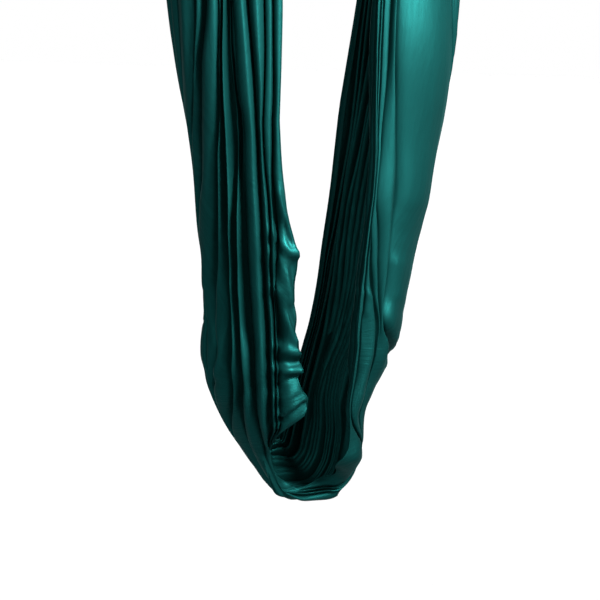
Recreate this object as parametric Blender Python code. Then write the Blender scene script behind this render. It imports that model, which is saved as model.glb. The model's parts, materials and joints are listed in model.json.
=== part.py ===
"""Aerial yoga hammock: a wide cloth hung as a sling between two ceiling anchors.

Metres, +Z up. The origin is on the ceiling plane, midway between the two
anchor plates. X runs through both anchors, Y is the width of the cloth, and
the front of the sling faces -Y.
"""

import math

import bmesh
import bpy
import numpy as np
from mathutils import Matrix, Vector

# ---------------------------------------------------------------- dimensions
GAP = 0.0003            # clearance between neighbouring pieces
ANCHOR_X = 0.330        # half the distance between the two anchors

PLATE_X, PLATE_Y, PLATE_T = 0.124, 0.064, 0.006
PLATE_CORNER = 0.010
BOLT_X, BOLT_Y = 0.047, 0.020   # half spacings of the four lag screws
BOLT_HOLE_R = 0.0046
BOLT_SHANK_R = 0.0040
BOLT_HEAD_R = 0.0075    # across the corners, half
BOLT_HEAD_H = 0.0058
BOLT_LENGTH = 0.058     # shank above the plate's top face
WASHER_R, WASHER_T = 0.0105, 0.0018

BOW_ROD_R = 0.0060      # welded U bow under the plate
BOW_BEND_R = 0.0170
BOW_DROP = 0.040        # from the plate's lower face to the rod centre at the bottom

UPPER = dict(rod=0.0055, bend=0.0235, straight=0.050)   # oval carabiners
LOWER = dict(rod=0.0060, bend=0.0290, straight=0.055)
TONGUE_HALF = 0.0020    # hinge tongue and nose tongue, half thickness
PIN_R = 0.0015
SLEEVE_WALL = 0.0024
SLEEVE_BORE_GAP = 0.0005
SLEEVE_LENGTH = 0.0180
SLEEVE_TRAVEL = 0.0105

WEB_T = 0.0025          # strap webbing
WEB_W = 0.0160
LOOP_R = 0.0080         # inner radius of the strap's end loops
STRAP_LENGTH = 0.320    # between the centres of the end loops
POCKETS = 4

LOOP_BUNDLE = (0.0135, 0.0190)  # the gathered cloth over the lower carabiner, half sizes
LOOP_BUNDLE_R = 0.0205
KNOT_TOP, KNOT_BOTTOM = 0.043, 0.122    # below the lower carabiner's bottom rod
TAIL_LENGTH = 0.190

SLING_DROP = 2.016      # from the knots' lower end to the bottom of the sling
CLOTH_AREA = 0.00190    # section of the gathered cloth, m2, the same all along

BOW_Z = -PLATE_T - BOW_DROP
UPPER_TOP_Z = BOW_Z + BOW_ROD_R + UPPER["rod"] + GAP
UPPER_LOW_Z = UPPER_TOP_Z - 2 * UPPER["bend"] - UPPER["straight"]
LOWER_TOP_Z = UPPER_LOW_Z - STRAP_LENGTH
LOWER_LOW_Z = LOWER_TOP_Z - 2 * LOWER["bend"] - LOWER["straight"]
KNOT_END_Z = LOWER_LOW_Z - KNOT_BOTTOM
SLING_Z = KNOT_END_Z - SLING_DROP

for old in list(bpy.data.objects):
    bpy.data.objects.remove(old, do_unlink=True)


# ---------------------------------------------------------------- materials
def material(name, color, roughness, metallic):
    mat = bpy.data.materials.new(name)
    mat.use_nodes = True
    shader = mat.node_tree.nodes["Principled BSDF"]
    shader.inputs["Base Color"].default_value = (*color, 1.0)
    shader.inputs["Roughness"].default_value = roughness
    shader.inputs["Metallic"].default_value = metallic
    mat.diffuse_color = (*color, 1.0)
    return mat


COLOURS = {
    "plate": ((0.045, 0.046, 0.048), 0.45, 0.3),
    "bow": ((0.50, 0.51, 0.52), 0.30, 1.0),
    "bolt": ((0.62, 0.62, 0.63), 0.35, 1.0),
    "washer": ((0.66, 0.66, 0.67), 0.38, 1.0),
    "carabiner": ((0.56, 0.57, 0.58), 0.26, 1.0),
    "gate": ((0.60, 0.61, 0.62), 0.28, 1.0),
    "pin": ((0.42, 0.42, 0.43), 0.34, 1.0),
    "sleeve": ((0.07, 0.07, 0.075), 0.42, 0.8),
    "spring": ((0.50, 0.50, 0.50), 0.30, 1.0),
    "strap": ((0.018, 0.019, 0.021), 0.85, 0.0),
    "cloth": ((0.008, 0.075, 0.072), 0.50, 0.0),
    "knot": ((0.009, 0.082, 0.078), 0.52, 0.0),
}


# ---------------------------------------------------------------- mesh helpers
def make_object(name, verts, faces, look, origin=(0, 0, 0), smooth=True):
    """One closed object whose origin is moved to the given point."""
    o = np.asarray(origin, float)
    mesh = bpy.data.meshes.new(name)
    mesh.from_pydata([tuple(np.asarray(v, float) - o) for v in verts], [], [list(f) for f in faces])
    bm = bmesh.new()
    bm.from_mesh(mesh)
    bmesh.ops.recalc_face_normals(bm, faces=bm.faces)
    bm.to_mesh(mesh)
    bm.free()
    mesh.validate()
    if smooth:
        mesh.shade_smooth()
        mesh.set_sharp_from_angle(angle=math.radians(42))
    obj = bpy.data.objects.new(name, mesh)
    obj.location = Vector(o)
    bpy.context.scene.collection.objects.link(obj)
    color, roughness, metallic = COLOURS[look]
    mesh.materials.append(material(name, color, roughness, metallic))
    return obj


def cutter(name, verts, faces):
    obj = make_object(name, verts, faces, "pin", smooth=False)
    obj.hide_render = True
    obj.display_type = "WIRE"
    return obj


def boolean(obj, other, operation="DIFFERENCE"):
    mod = obj.modifiers.new(operation.lower(), "BOOLEAN")
    mod.operation = operation
    mod.solver = "EXACT"
    mod.object = other
    return mod


def stitch(rings, caps=True):
    """Quads between equal closed rings, with both ends closed."""
    n = len(rings[0])
    verts = [v for ring in rings for v in ring]
    faces = []
    for i in range(len(rings) - 1):
        for j in range(n):
            a, b = i * n + j, i * n + (j + 1) % n
            faces.append((a, b, b + n, a + n))
    if caps:
        faces.append(tuple(range(n))[::-1])
        faces.append(tuple(range((len(rings) - 1) * n, len(rings) * n)))
    return verts, faces


def sweep(path, section, axis):
    """Rings across a planar path. The path's plane is normal to axis, and
    section(i) gives (along the plane's normal side, along axis) pairs."""
    path = [np.asarray(p, float) for p in path]
    axis = np.asarray(axis, float)
    rings = []
    for i, p in enumerate(path):
        before = path[max(i - 1, 0)]
        after = path[min(i + 1, len(path) - 1)]
        tangent = after - before
        tangent /= np.linalg.norm(tangent)
        side = np.cross(axis, tangent)
        side /= np.linalg.norm(side)
        rings.append([p + side * a + axis * b for a, b in section(i)])
    return stitch(rings)


def round_section(r, n, clip=None, scale=1.0):
    pts = []
    for k in range(n):
        t = 2 * math.pi * (k + 0.5) / n
        a, b = r * math.cos(t) * scale, r * math.sin(t) * scale
        if clip is not None:
            b = max(-clip, min(clip, b))
        pts.append((a, b))
    return pts


def turned(profile, n, centre, hexagon=()):
    """A closed solid of revolution about Z from (z, r) pairs; rows named in
    hexagon have six flats."""
    cx, cy, cz = centre
    rings = []
    for i, (z, r) in enumerate(profile):
        ring = []
        for k in range(n):
            t = 2 * math.pi * k / n
            rr = r * (math.cos(math.pi / 6) if i in hexagon and k % 2 else 1.0)
            ring.append((cx + rr * math.cos(t), cy + rr * math.sin(t), cz + z))
        rings.append(ring)
    return stitch(rings)


def ring_solid(profile, n, centre, axis="Z"):
    """A closed ring: the closed (z, r) profile turned about the axis."""
    cx, cy, cz = centre
    m = len(profile)
    verts, faces = [], []
    for k in range(n):
        t = 2 * math.pi * k / n
        for z, r in profile:
            verts.append((cx + r * math.cos(t), cy + r * math.sin(t), cz + z))
    for k in range(n):
        for i in range(m):
            a, b = k * m + i, k * m + (i + 1) % m
            c, d = ((k + 1) % n) * m + (i + 1) % m, ((k + 1) % n) * m + i
            faces.append((a, b, c, d))
    return verts, faces


def box(lo, hi):
    (x0, y0, z0), (x1, y1, z1) = lo, hi
    verts = [(x, y, z) for x in (x0, x1) for y in (y0, y1) for z in (z0, z1)]
    faces = [(0, 1, 3, 2), (4, 6, 7, 5), (0, 4, 5, 1), (2, 3, 7, 6), (0, 2, 6, 4), (1, 5, 7, 3)]
    return verts, faces


def tube_x(centre, r, half, n):
    """A cylinder along X."""
    cx, cy, cz = centre
    rings = [
        [(cx + s * half, cy + r * math.cos(2 * math.pi * (k + 0.5) / n), cz + r * math.sin(2 * math.pi * (k + 0.5) / n)) for k in range(n)]
        for s in (-1, 1)
    ]
    return stitch(rings)


def extrude_flat(outline, holes, half, mapping):
    """A plate with holes from 2D loops; mapping turns (u, v, w) into space."""
    bm = bmesh.new()
    edges = []
    for loop in [outline] + list(holes):
        ring = [bm.verts.new((u, v, 0.0)) for u, v in loop]
        for a, b in zip(ring, ring[1:] + ring[:1]):
            edges.append(bm.edges.new((a, b)))
    bmesh.ops.triangle_fill(bm, use_beauty=True, use_dissolve=False, edges=edges)
    bm.verts.index_update()
    flat = [tuple(v.co) for v in bm.verts]
    tris = [[v.index for v in f.verts] for f in bm.faces]
    rim = [[v.index for v in e.verts] for e in bm.edges if len(e.link_faces) == 1]
    bm.free()
    n = len(flat)
    verts = [mapping(u, v, -half) for u, v, _ in flat] + [mapping(u, v, half) for u, v, _ in flat]
    faces = [t[::-1] for t in tris] + [[i + n for i in t] for t in tris]
    faces += [[a, b, b + n, a + n] for a, b in rim]
    return verts, faces


# ---------------------------------------------------------------- ceiling anchors
def anchor(side, x0):
    # plate: a rounded rectangle with four screw holes
    outline = []
    for cx, cy, start in ((1, 1, 0), (-1, 1, 90), (-1, -1, 180), (1, -1, 270)):
        for k in range(5):
            t = math.radians(start + 22.5 * k)
            outline.append((
                cx * (PLATE_X / 2 - PLATE_CORNER) + PLATE_CORNER * math.cos(t),
                cy * (PLATE_Y / 2 - PLATE_CORNER) + PLATE_CORNER * math.sin(t)))
    holes = []
    for sx in (-1, 1):
        for sy in (-1, 1):
            holes.append([(
                sx * BOLT_X + BOLT_HOLE_R * math.cos(2 * math.pi * k / 12),
                sy * BOLT_Y + BOLT_HOLE_R * math.sin(2 * math.pi * k / 12)) for k in range(12)])
    verts, faces = extrude_flat(outline, holes, PLATE_T / 2, lambda u, v, w: (x0 + u, v, w - PLATE_T / 2))
    make_object(f"{side}_anchor_plate", verts, faces, "plate", (x0, 0, 0), smooth=False)

    # bow: a U of round rod with weld fillets at both feet
    z_top = -PLATE_T - GAP
    z_bend = BOW_Z + BOW_BEND_R
    path = [(x0 - BOW_BEND_R, 0, z_top), (x0 - BOW_BEND_R, 0, z_top - 0.0012), (x0 - BOW_BEND_R, 0, z_top - 0.0035), (x0 - BOW_BEND_R, 0, z_bend)]
    for k in range(1, 9):
        t = math.pi + math.pi * k / 9
        path.append((x0 + BOW_BEND_R * math.cos(t), 0, z_bend + BOW_BEND_R * math.sin(t)))
    path += [(x0 + BOW_BEND_R, 0, z_bend), (x0 + BOW_BEND_R, 0, z_top - 0.0035), (x0 + BOW_BEND_R, 0, z_top - 0.0012), (x0 + BOW_BEND_R, 0, z_top)]
    swell = {0: 1.42, 1: 1.36, len(path) - 2: 1.36, len(path) - 1: 1.42}
    verts, faces = sweep(path, lambda i: round_section(BOW_ROD_R, 12, scale=swell.get(i, 1.0)), (0, 1, 0))
    make_object(f"{side}_anchor_bow", verts, faces, "bow", (x0, 0, BOW_Z))

    # four hex lag screws, each with a washer
    number = 0
    for sx in (-1, 1):
        for sy in (-1, 1):
            number += 1
            cx, cy = x0 + sx * BOLT_X, sy * BOLT_Y
            z_w = -PLATE_T - GAP
            ring = [(0, BOLT_HOLE_R), (0, WASHER_R), (-WASHER_T, WASHER_R), (-WASHER_T, BOLT_HOLE_R)]
            verts, faces = ring_solid(ring, 12, (cx, cy, z_w))
            make_object(f"{side}_washer_{number}", verts, faces, "washer", (cx, cy, z_w))
            z_h = z_w - WASHER_T - GAP
            profile = [
                (-BOLT_HEAD_H, BOLT_HEAD_R * 0.80), (-BOLT_HEAD_H + 0.0011, BOLT_HEAD_R), (0, BOLT_HEAD_R),
                (0, BOLT_SHANK_R), (BOLT_LENGTH - 0.006 - z_h, BOLT_SHANK_R), (BOLT_LENGTH - z_h, 0.0008)]
            verts, faces = turned(profile, 12, (cx, cy, z_h), hexagon=(0, 1, 2))
            make_object(f"{side}_lag_screw_{number}", verts, faces, "bolt", (cx, cy, z_h))


# ---------------------------------------------------------------- oval screwgate carabiners
def carabiner(side, level, x0, top_z, size, hinge_up):
    """The oval lies in the YZ plane with its gate to the front (-Y)."""
    rod, bend, straight = size["rod"], size["bend"], size["straight"]
    mid_z = top_z - bend - straight / 2
    flip = 1.0 if hinge_up else -1.0     # +q points to the hinge end

    def at(p, q):
        """p to the back (+Y), q along the oval towards the hinge end."""
        return (x0, p, mid_z + flip * q)

    pin_q = straight / 2 - 0.0070
    nose_q = -straight / 2 + 0.0080
    # body: from the hinge tongue round both bends to the nose tongue
    path, kind = [], []

    def add(p, q, k):
        path.append(at(p, q))
        kind.append(k)

    for q, k in ((-0.0054, ("t", 0.35)), (-0.0042, ("t", 0.72)), (-0.0018, ("t", 0.97)), (0.0, ("t", 1.0)), (0.0067, ("t", 1.0))):
        add(-bend, pin_q + q, k)
    add(-bend, pin_q + 0.0070, ("r", 1.0))
    steps = 10
    for k in range(1, steps + 1):
        t = math.pi - math.pi * k / steps
        add(bend * math.cos(t), straight / 2 + bend * math.sin(t), ("r", 1.0))
    for k in range(0, steps + 1):
        t = -math.pi * k / steps
        add(bend * math.cos(t), -straight / 2 + bend * math.sin(t), ("r", 1.0))
    add(-bend, nose_q, ("r", 1.0))
    for q, k in ((0.0003, ("t", 1.0)), (0.0040, ("t", 1.0)), (0.0054, ("t", 0.72))):
        add(-bend, nose_q + q, k)

    def section(i):
        form, grow = kind[i]
        if form == "r":
            return round_section(rod, 12)
        pts = round_section(rod, 12, clip=TONGUE_HALF)
        return [(a * grow, b) for a, b in pts]

    verts, faces = sweep(path, section, (1, 0, 0))
    name = f"{side}_{level}_carabiner"
    body = make_object(name + "_body", verts, faces, "carabiner", (x0, 0, top_z))
    pin_at = np.array(at(-bend, pin_q))
    hole = cutter(name + "_tongue_hole", *tube_x(pin_at, PIN_R + GAP, 0.010, 10))
    boolean(body, hole)

    # gate: a round bar forked at the hinge, slotted at the nose, bored for its spring
    tip_q = nose_q + 0.0006
    ends = [pin_q + 0.0045, pin_q + 0.0030, tip_q + 0.0006, tip_q]
    grow = [0.80, 1.0, 1.0, 0.94]
    rings = [[tuple(np.array(at(-bend, q)) + np.array((b, a, 0.0))) for a, b in round_section(rod, 12, scale=g)] for q, g in zip(ends, grow)]
    verts, faces = stitch(rings)
    gate = make_object(name + "_gate", verts, faces, "gate", tuple(pin_at))
    fork_q = pin_q - 0.0062
    slot = TONGUE_HALF + GAP

    def slab(tag, q0, q1, half, reach):
        a, b = at(-bend, q0), at(-bend, q1)
        lo = (x0 - half, -bend - reach, min(a[2], b[2]))
        hi = (x0 + half, -bend + reach, max(a[2], b[2]))
        return cutter(name + tag, *box(lo, hi))

    boolean(gate, slab("_fork_slot", fork_q, pin_q + 0.010, slot, 0.012))
    boolean(gate, slab("_nose_slot", tip_q - 0.004, tip_q + 0.0068, slot, 0.012))
    boolean(gate, cutter(name + "_gate_hole", *tube_x(pin_at, PIN_R + GAP, 0.010, 10)))
    bore_r, bore_end = 0.0030, fork_q - 0.0130
    rings = [[tuple(np.array(at(-bend, q)) + np.array((b, a, 0.0))) for a, b in round_section(bore_r, 10)] for q in (fork_q + 0.001, bore_end)]
    boolean(gate, cutter(name + "_gate_bore", *stitch(rings)))

    # rivet through fork and tongue
    verts, faces = tube_x(pin_at, PIN_R, rod - 0.0009, 10)
    make_object(name + "_pin", verts, faces, "pin", tuple(pin_at))

    # locking sleeve, shown run back from the nose so that the gate is free
    q1 = tip_q + 0.0068
    inner, outer = rod + SLEEVE_BORE_GAP, rod + SLEEVE_BORE_GAP + SLEEVE_WALL
    n = 14
    stations = [(q1, inner), (q1, outer), (q1 + SLEEVE_LENGTH, outer), (q1 + SLEEVE_LENGTH, inner)]
    verts, faces = [], []
    m = len(stations)
    for k in range(n):
        t = 2 * math.pi * k / n
        for q, r in stations:
            verts.append(tuple(np.array(at(-bend, q)) + np.array((r * math.sin(t), r * math.cos(t), 0.0))))
    for k in range(n):
        for i in range(m):
            a, b = k * m + i, k * m + (i + 1) % m
            c, d = ((k + 1) % n) * m + (i + 1) % m, ((k + 1) % n) * m + i
            faces.append((a, b, c, d))
    make_object(name + "_sleeve", verts, faces, "sleeve", at(-bend, q1))

    # coil spring in the gate's bore
    coil_r, wire = 0.0020, 0.0004
    turns, per = 4, 6
    q0, length = fork_q - 0.0008, 0.0116
    rings = []
    total = turns * per
    for k in range(total + 1):
        t = 2 * math.pi * k / per
        q = q0 - length * k / total
        centre = np.array(at(-bend, q)) + np.array((coil_r * math.cos(t), coil_r * math.sin(t), 0.0))
        out = np.array((math.cos(t), math.sin(t), 0.0))
        up = np.array((0.0, 0.0, 1.0))
        rings.append([centre + wire * (out * math.cos(a) + up * math.sin(a)) for a in (2 * math.pi * j / 5 for j in range(5))])
    verts, faces = stitch(rings)
    make_object(name + "_spring", verts, faces, "spring", at(-bend, q0))


# ---------------------------------------------------------------- daisy-chain straps
def strap(side, x0, out):
    """Webbing on edge in the XZ plane: an end loop over each rod and a row of
    sewn pockets between. out is the side that the pockets stand on."""
    top, low = UPPER_LOW_Z, LOWER_TOP_Z
    R, T = LOOP_R, WEB_T
    neck = 0.034
    n = 14
    right, left = [], []        # outlines from the top down, at +out and -out

    def loop_side(centre, direction):
        """Outer points of one loop from its far end to its neck, u > 0."""
        pts = []
        for k in range(0, n // 2 + 1):
            t = math.radians(90 - k * 150 / (n // 2))
            pts.append(((R + T) * math.cos(t), centre + direction * (R + T) * math.sin(t)))
        return pts

    upper_side = loop_side(top, 1)
    lower_side = loop_side(low, -1)[::-1]
    z0, z1 = top - neck, low + neck
    pitch = (z0 - z1) / POCKETS
    pockets, bulge = [], []
    for i in range(POCKETS):
        a, b = z0 - i * pitch - 0.005, z0 - (i + 1) * pitch + 0.005
        outer, inner = [], []
        for k in range(9):
            s = k / 8
            z = a + (b - a) * s
            h = 0.0135 * math.sin(math.pi * s) ** 0.8
            outer.append((T + 0.0001 + h, z))
            if 0 < k < 8:
                inner.append((0.0003 + h - 0.0003 * (1 - math.sin(math.pi * s)), z))
        bulge += outer
        pockets.append(inner + [(0.0, b + (a - b) * 0.12), (0.0, (a + b) / 2), (0.0, a - (a - b) * 0.12)])
    right = upper_side + [(T + 0.0001, z0)] + bulge + [(T + 0.0001, z1)] + lower_side
    left = [(-u, z) for u, z in upper_side[1:]] + [(-T, z0), (-T, (z0 + z1) / 2), (-T, z1)] + [(-u, z) for u, z in lower_side[:-1]]
    outline = right + left[::-1]
    holes = []
    for centre, direction in ((top, 1), (low, -1)):
        ring = []
        for k in range(n):
            t = math.radians(90 - k * 150 / (n // 2))
            if k <= n // 2:
                ring.append((R * math.cos(t), centre + direction * R * math.sin(t)))
        mirror = [(-u, z) for u, z in ring[1:]][::-1]
        holes.append(ring + [(0.0004, centre - direction * (neck - 0.007)), (-0.0004, centre - direction * (neck - 0.007))] + mirror)
    holes += pockets
    verts, faces = extrude_flat(outline, holes, WEB_W / 2, lambda u, v, w: (x0 + out * u, w, v))
    make_object(f"{side}_daisy_strap", verts, faces, "strap", (x0, 0, top))


# ---------------------------------------------------------------- choke knots of the cloth
def blob_rings(stations, n, twist=0.0):
    """Stacked closed rings: (x, y, z, half x, half y, lobes, depth)."""
    rings = []
    for i, (cx, cy, cz, hx, hy, lobes, depth) in enumerate(stations):
        ring = []
        for k in range(n):
            t = 2 * math.pi * k / n
            f = 1.0 + depth * math.cos(lobes * t + twist * i)
            ring.append((cx + hx * f * math.cos(t), cy + hy * f * math.sin(t), cz))
        rings.append(ring)
    return rings


def knot(side, x0, out):
    zc = LOWER_LOW_Z
    # the gathered end passes over the rod and comes down both sides of it
    ha, hb = LOOP_BUNDLE
    path = [(x0 - out * 0.0144, 0, zc - 0.058), (x0 - out * 0.0168, 0, zc - 0.030), (x0 - out * 0.0199, 0, zc - 0.010)]
    for k in range(0, 11):
        t = math.pi - math.pi * k / 10
        path.append((x0 + out * LOOP_BUNDLE_R * math.cos(t), 0, zc + LOOP_BUNDLE_R * math.sin(t)))
    path += [(x0 + out * 0.0199, 0, zc - 0.010), (x0 + out * 0.0168, 0, zc - 0.030), (x0 + out * 0.0144, 0, zc - 0.058)]
    n = 14

    def section(i):
        return [(ha * math.cos(2 * math.pi * (k + 0.5) / n), hb * math.sin(2 * math.pi * (k + 0.5) / n)) for k in range(n)]

    verts, faces = sweep(path, section, (0, 1, 0))
    body = make_object(f"{side}_choke_knot", verts, faces, "knot", (x0, 0, zc))

    # wrapped collar, fuller in the middle, with the turns of cloth showing
    z1, z2 = zc - KNOT_TOP, zc - KNOT_BOTTOM
    stations = []
    levels = [(0.00, 0.60), (0.05, 0.86), (0.18, 1.02), (0.30, 0.92), (0.42, 1.08), (0.55, 1.10), (0.66, 0.94), (0.80, 1.02), (0.92, 0.88), (1.00, 0.62)]
    for s, f in levels:
        shift = 0.004 * math.sin(2 * math.pi * s)
        stations.append((x0 + out * (0.004 + shift), 0.002, z1 + (z2 - z1) * s, 0.0345 * f, 0.0365 * f, 2, 0.03))
    collar = cutter(f"{side}_collar_part", *stitch(blob_rings(stations, 18, 0.5)))
    boolean(body, collar, "UNION")

    # the free tail comes out of the collar on the outer side and hangs
    stations = []
    for s, dx, hx, hy in ((0.00, 0.016, 0.012, 0.014), (0.08, 0.030, 0.012, 0.018), (0.18, 0.044, 0.010, 0.023), (0.32, 0.052, 0.009, 0.029),
                          (0.50, 0.055, 0.0085, 0.034), (0.70, 0.056, 0.0085, 0.039), (0.88, 0.057, 0.009, 0.043), (1.00, 0.058, 0.008, 0.044)):
        stations.append((x0 + out * dx, 0.004, zc - 0.072 - TAIL_LENGTH * s, hx, hy, 3, 0.05))
    tail = cutter(f"{side}_tail_part", *stitch(blob_rings(stations, 14, 0.25)))
    boolean(body, tail, "UNION")


# ---------------------------------------------------------------- the sling cloth
# (height above the bottom, distance of the outer face from the middle plane)
OUTER_LEFT = [
    (0.026, 0.000), (0.029, 0.030), (0.045, 0.060), (0.078, 0.084), (0.113, 0.107), (0.148, 0.131), (0.184, 0.152), (0.217, 0.168), (0.255, 0.181), (0.305, 0.1885),
    (0.390, 0.193), (0.520, 0.209), (0.700, 0.239), (0.900, 0.275), (1.080, 0.302), (1.250, 0.322), (1.450, 0.338), (1.650, 0.349), (1.850, 0.3545), (2.016, 0.3550)]
OUTER_RIGHT = [
    (0.026, 0.000), (0.030, 0.034), (0.045, 0.062), (0.074, 0.083), (0.116, 0.094), (0.182, 0.110), (0.245, 0.134), (0.300, 0.157),
    (0.390, 0.183), (0.520, 0.208), (0.700, 0.239), (0.900, 0.275), (1.080, 0.302), (1.250, 0.322), (1.450, 0.338), (1.650, 0.349), (1.850, 0.3545), (2.016, 0.3550)]
# along each half: (share, half width, back lip, front lip on the left, front lip on the right, pleat depth)
SECTIONS = [
    (0.00, 0.112, 0.060, 0.050, 0.052, 0.012), (0.06, 0.116, 0.062, 0.058, 0.072, 0.013), (0.14, 0.120, 0.074, 0.078, 0.114, 0.014),
    (0.24, 0.119, 0.098, 0.098, 0.166, 0.015), (0.36, 0.116, 0.124, 0.102, 0.202, 0.016), (0.50, 0.114, 0.138, 0.130, 0.230, 0.016),
    (0.62, 0.106, 0.128, 0.128, 0.196, 0.015), (0.74, 0.086, 0.104, 0.104, 0.138, 0.012), (0.86, 0.058, 0.076, 0.077, 0.090, 0.007),
    (0.94, 0.038, 0.056, 0.056, 0.058, 0.003), (1.00, 0.0245, 0.0480, 0.0480, 0.0480, 0.0)]
PLEATS = 4
ACROSS = 17
ALONG = 25              # stations on each half


def smooth_curve(points, count):
    """Points read evenly along a Catmull-Rom curve."""
    pts = [np.array(p, float) for p in points]
    pts = [2 * pts[0] - pts[1]] + pts + [2 * pts[-1] - pts[-2]]
    dense = []
    for i in range(1, len(pts) - 2):
        p0, p1, p2, p3 = pts[i - 1], pts[i], pts[i + 1], pts[i + 2]
        for k in range(12):
            t = k / 12
            dense.append(0.5 * (2 * p1 + (p2 - p0) * t + (2 * p0 - 5 * p1 + 4 * p2 - p3) * t * t + (3 * p1 - p0 - 3 * p2 + p3) * t ** 3))
    dense.append(pts[-2])
    dense = np.array(dense)
    steps = np.r_[0, np.cumsum(np.linalg.norm(np.diff(dense, axis=0), axis=1))]
    want = np.linspace(0, steps[-1], count)
    return np.stack([np.interp(want, steps, dense[:, k]) for k in range(dense.shape[1])], 1), steps[-1]


def sling():
    mirrored = [(z, -x) for z, x in OUTER_LEFT[:0:-1]]
    line, length = smooth_curve([(x, z) for z, x in mirrored + OUTER_RIGHT], 2 * ALONG + 1)
    share = np.abs(np.linspace(-1, 1, len(line)))
    table = np.array(SECTIONS)
    width = np.interp(share, table[:, 0], table[:, 1])
    back = np.interp(share, table[:, 0], table[:, 2])
    front = np.where(line[:, 0] < 0, np.interp(share, table[:, 0], table[:, 3]), np.interp(share, table[:, 0], table[:, 4]))
    depth = np.interp(share, table[:, 0], table[:, 5])
    tangent = np.gradient(line, axis=0)
    tangent /= np.linalg.norm(tangent, axis=1)[:, None]
    inward = np.stack([-tangent[:, 1], tangent[:, 0]], 1)   # up at the bottom, towards the middle in the strands
    j = np.linspace(-1, 1, ACROSS)
    grid = np.zeros((len(line), ACROSS, 3))
    for i in range(len(line)):
        turn = 0.5 * math.pi * (0.97 if share[i] < 0.9 else 0.97 + 0.38 * (share[i] - 0.9) / 0.1)
        u = width[i] * np.sin(j * turn) / (math.sin(turn) if turn < math.pi / 2 else 1.0)
        lip = np.where(j < 0, front[i], back[i])
        v = lip * (1 - np.cos(j * turn)) / (1 - math.cos(turn))
        v = v + depth[i] * (0.5 - 0.5 * np.cos(math.pi * (ACROSS - 1) / 2 * (j + 1))) * (1 if share[i] < 1 else 0)
        grid[i, :, 0] = line[i, 0] + inward[i, 0] * v
        grid[i, :, 1] = u
        grid[i, :, 2] = SLING_Z + line[i, 1] + inward[i, 1] * v
    along = np.gradient(grid, axis=0)
    across = np.gradient(grid, axis=1)
    normal = np.cross(along, across)
    normal /= np.linalg.norm(normal, axis=2)[:, :, None]
    arc = np.linalg.norm(np.diff(grid, axis=1), axis=2).sum(axis=1)
    half = np.clip(CLOTH_AREA / arc / 2, 0.0015, 0.0055)
    sides = [grid + normal * half[:, None, None], grid - normal * half[:, None, None]]
    rings = []
    for i in range(len(line)):
        rings.append([tuple(p) for p in sides[0][i]] + [tuple(p) for p in sides[1][i][::-1]])
    rings[0] = [(x, y, min(z, KNOT_END_Z - GAP)) for x, y, z in rings[0]]
    rings[-1] = [(x, y, min(z, KNOT_END_Z - GAP)) for x, y, z in rings[-1]]
    n = 2 * ACROSS
    verts, faces = stitch(rings, caps=False)
    for base, order in ((0, -1), ((len(rings) - 1) * n, 1)):
        for k in range(ACROSS - 1):
            quad = (base + k, base + k + 1, base + n - 2 - k, base + n - 1 - k)
            faces.append(quad[::order])
    make_object("sling_cloth", verts, faces, "cloth", (0, 0, SLING_Z))


for side, sign in (("left", -1.0), ("right", 1.0)):
    x_anchor = sign * ANCHOR_X
    anchor(side, x_anchor)
    carabiner(side, "upper", x_anchor, UPPER_TOP_Z, UPPER, hinge_up=True)
    strap(side, x_anchor, sign)
    carabiner(side, "lower", x_anchor, LOWER_TOP_Z, LOWER, hinge_up=False)
    knot(side, x_anchor, sign)
sling()
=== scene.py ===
import json
import math

import bmesh
import bpy
import numpy as np
from mathutils import Matrix, Vector

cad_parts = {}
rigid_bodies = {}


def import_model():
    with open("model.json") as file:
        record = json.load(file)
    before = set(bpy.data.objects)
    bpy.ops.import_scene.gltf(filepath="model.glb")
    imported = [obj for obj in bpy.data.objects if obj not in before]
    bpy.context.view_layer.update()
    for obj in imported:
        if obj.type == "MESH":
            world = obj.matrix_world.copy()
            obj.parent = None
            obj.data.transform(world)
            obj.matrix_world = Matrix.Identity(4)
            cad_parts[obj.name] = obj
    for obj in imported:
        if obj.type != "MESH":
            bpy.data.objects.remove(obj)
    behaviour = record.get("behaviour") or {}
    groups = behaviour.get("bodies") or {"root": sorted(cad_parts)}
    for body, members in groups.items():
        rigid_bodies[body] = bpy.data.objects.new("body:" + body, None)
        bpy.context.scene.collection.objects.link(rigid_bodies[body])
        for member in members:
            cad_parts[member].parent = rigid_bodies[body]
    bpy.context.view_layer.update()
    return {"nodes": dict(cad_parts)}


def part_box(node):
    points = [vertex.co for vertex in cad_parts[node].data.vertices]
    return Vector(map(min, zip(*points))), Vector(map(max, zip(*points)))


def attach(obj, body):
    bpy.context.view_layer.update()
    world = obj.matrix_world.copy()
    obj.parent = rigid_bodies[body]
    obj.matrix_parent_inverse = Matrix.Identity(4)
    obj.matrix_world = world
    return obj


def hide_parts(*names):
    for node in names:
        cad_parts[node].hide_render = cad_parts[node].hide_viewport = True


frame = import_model()
NODES = frame["nodes"]

# ------------------------------------------------------------------ camera
BOTTOM_Z = -2.7022                               # the height that the hanging curve is measured from
KNOT_END_Z = BOTTOM_Z + 2.016
AZ, DIST, RISE, PITCH, ROLL = math.radians(-31.5), 2.73, 0.869, math.radians(10.0), math.radians(2.7)
FOCAL, CX, CY = 1576.0, 309.4, 300.0             # for a frame of 600 x 600

back_ = np.array([math.sin(AZ), -math.cos(AZ), 0.0])
right_ = np.array([math.cos(AZ), math.sin(AZ), 0.0])
EYE = back_ * DIST + np.array([0, 0, BOTTOM_Z + RISE])
FWD = -back_ * math.cos(PITCH) - np.array([0, 0, math.sin(PITCH)])
up_ = np.cross(right_, FWD)
RIGHT = right_ * math.cos(ROLL) + up_ * math.sin(ROLL)
UP = -right_ * math.sin(ROLL) + up_ * math.cos(ROLL)
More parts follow.
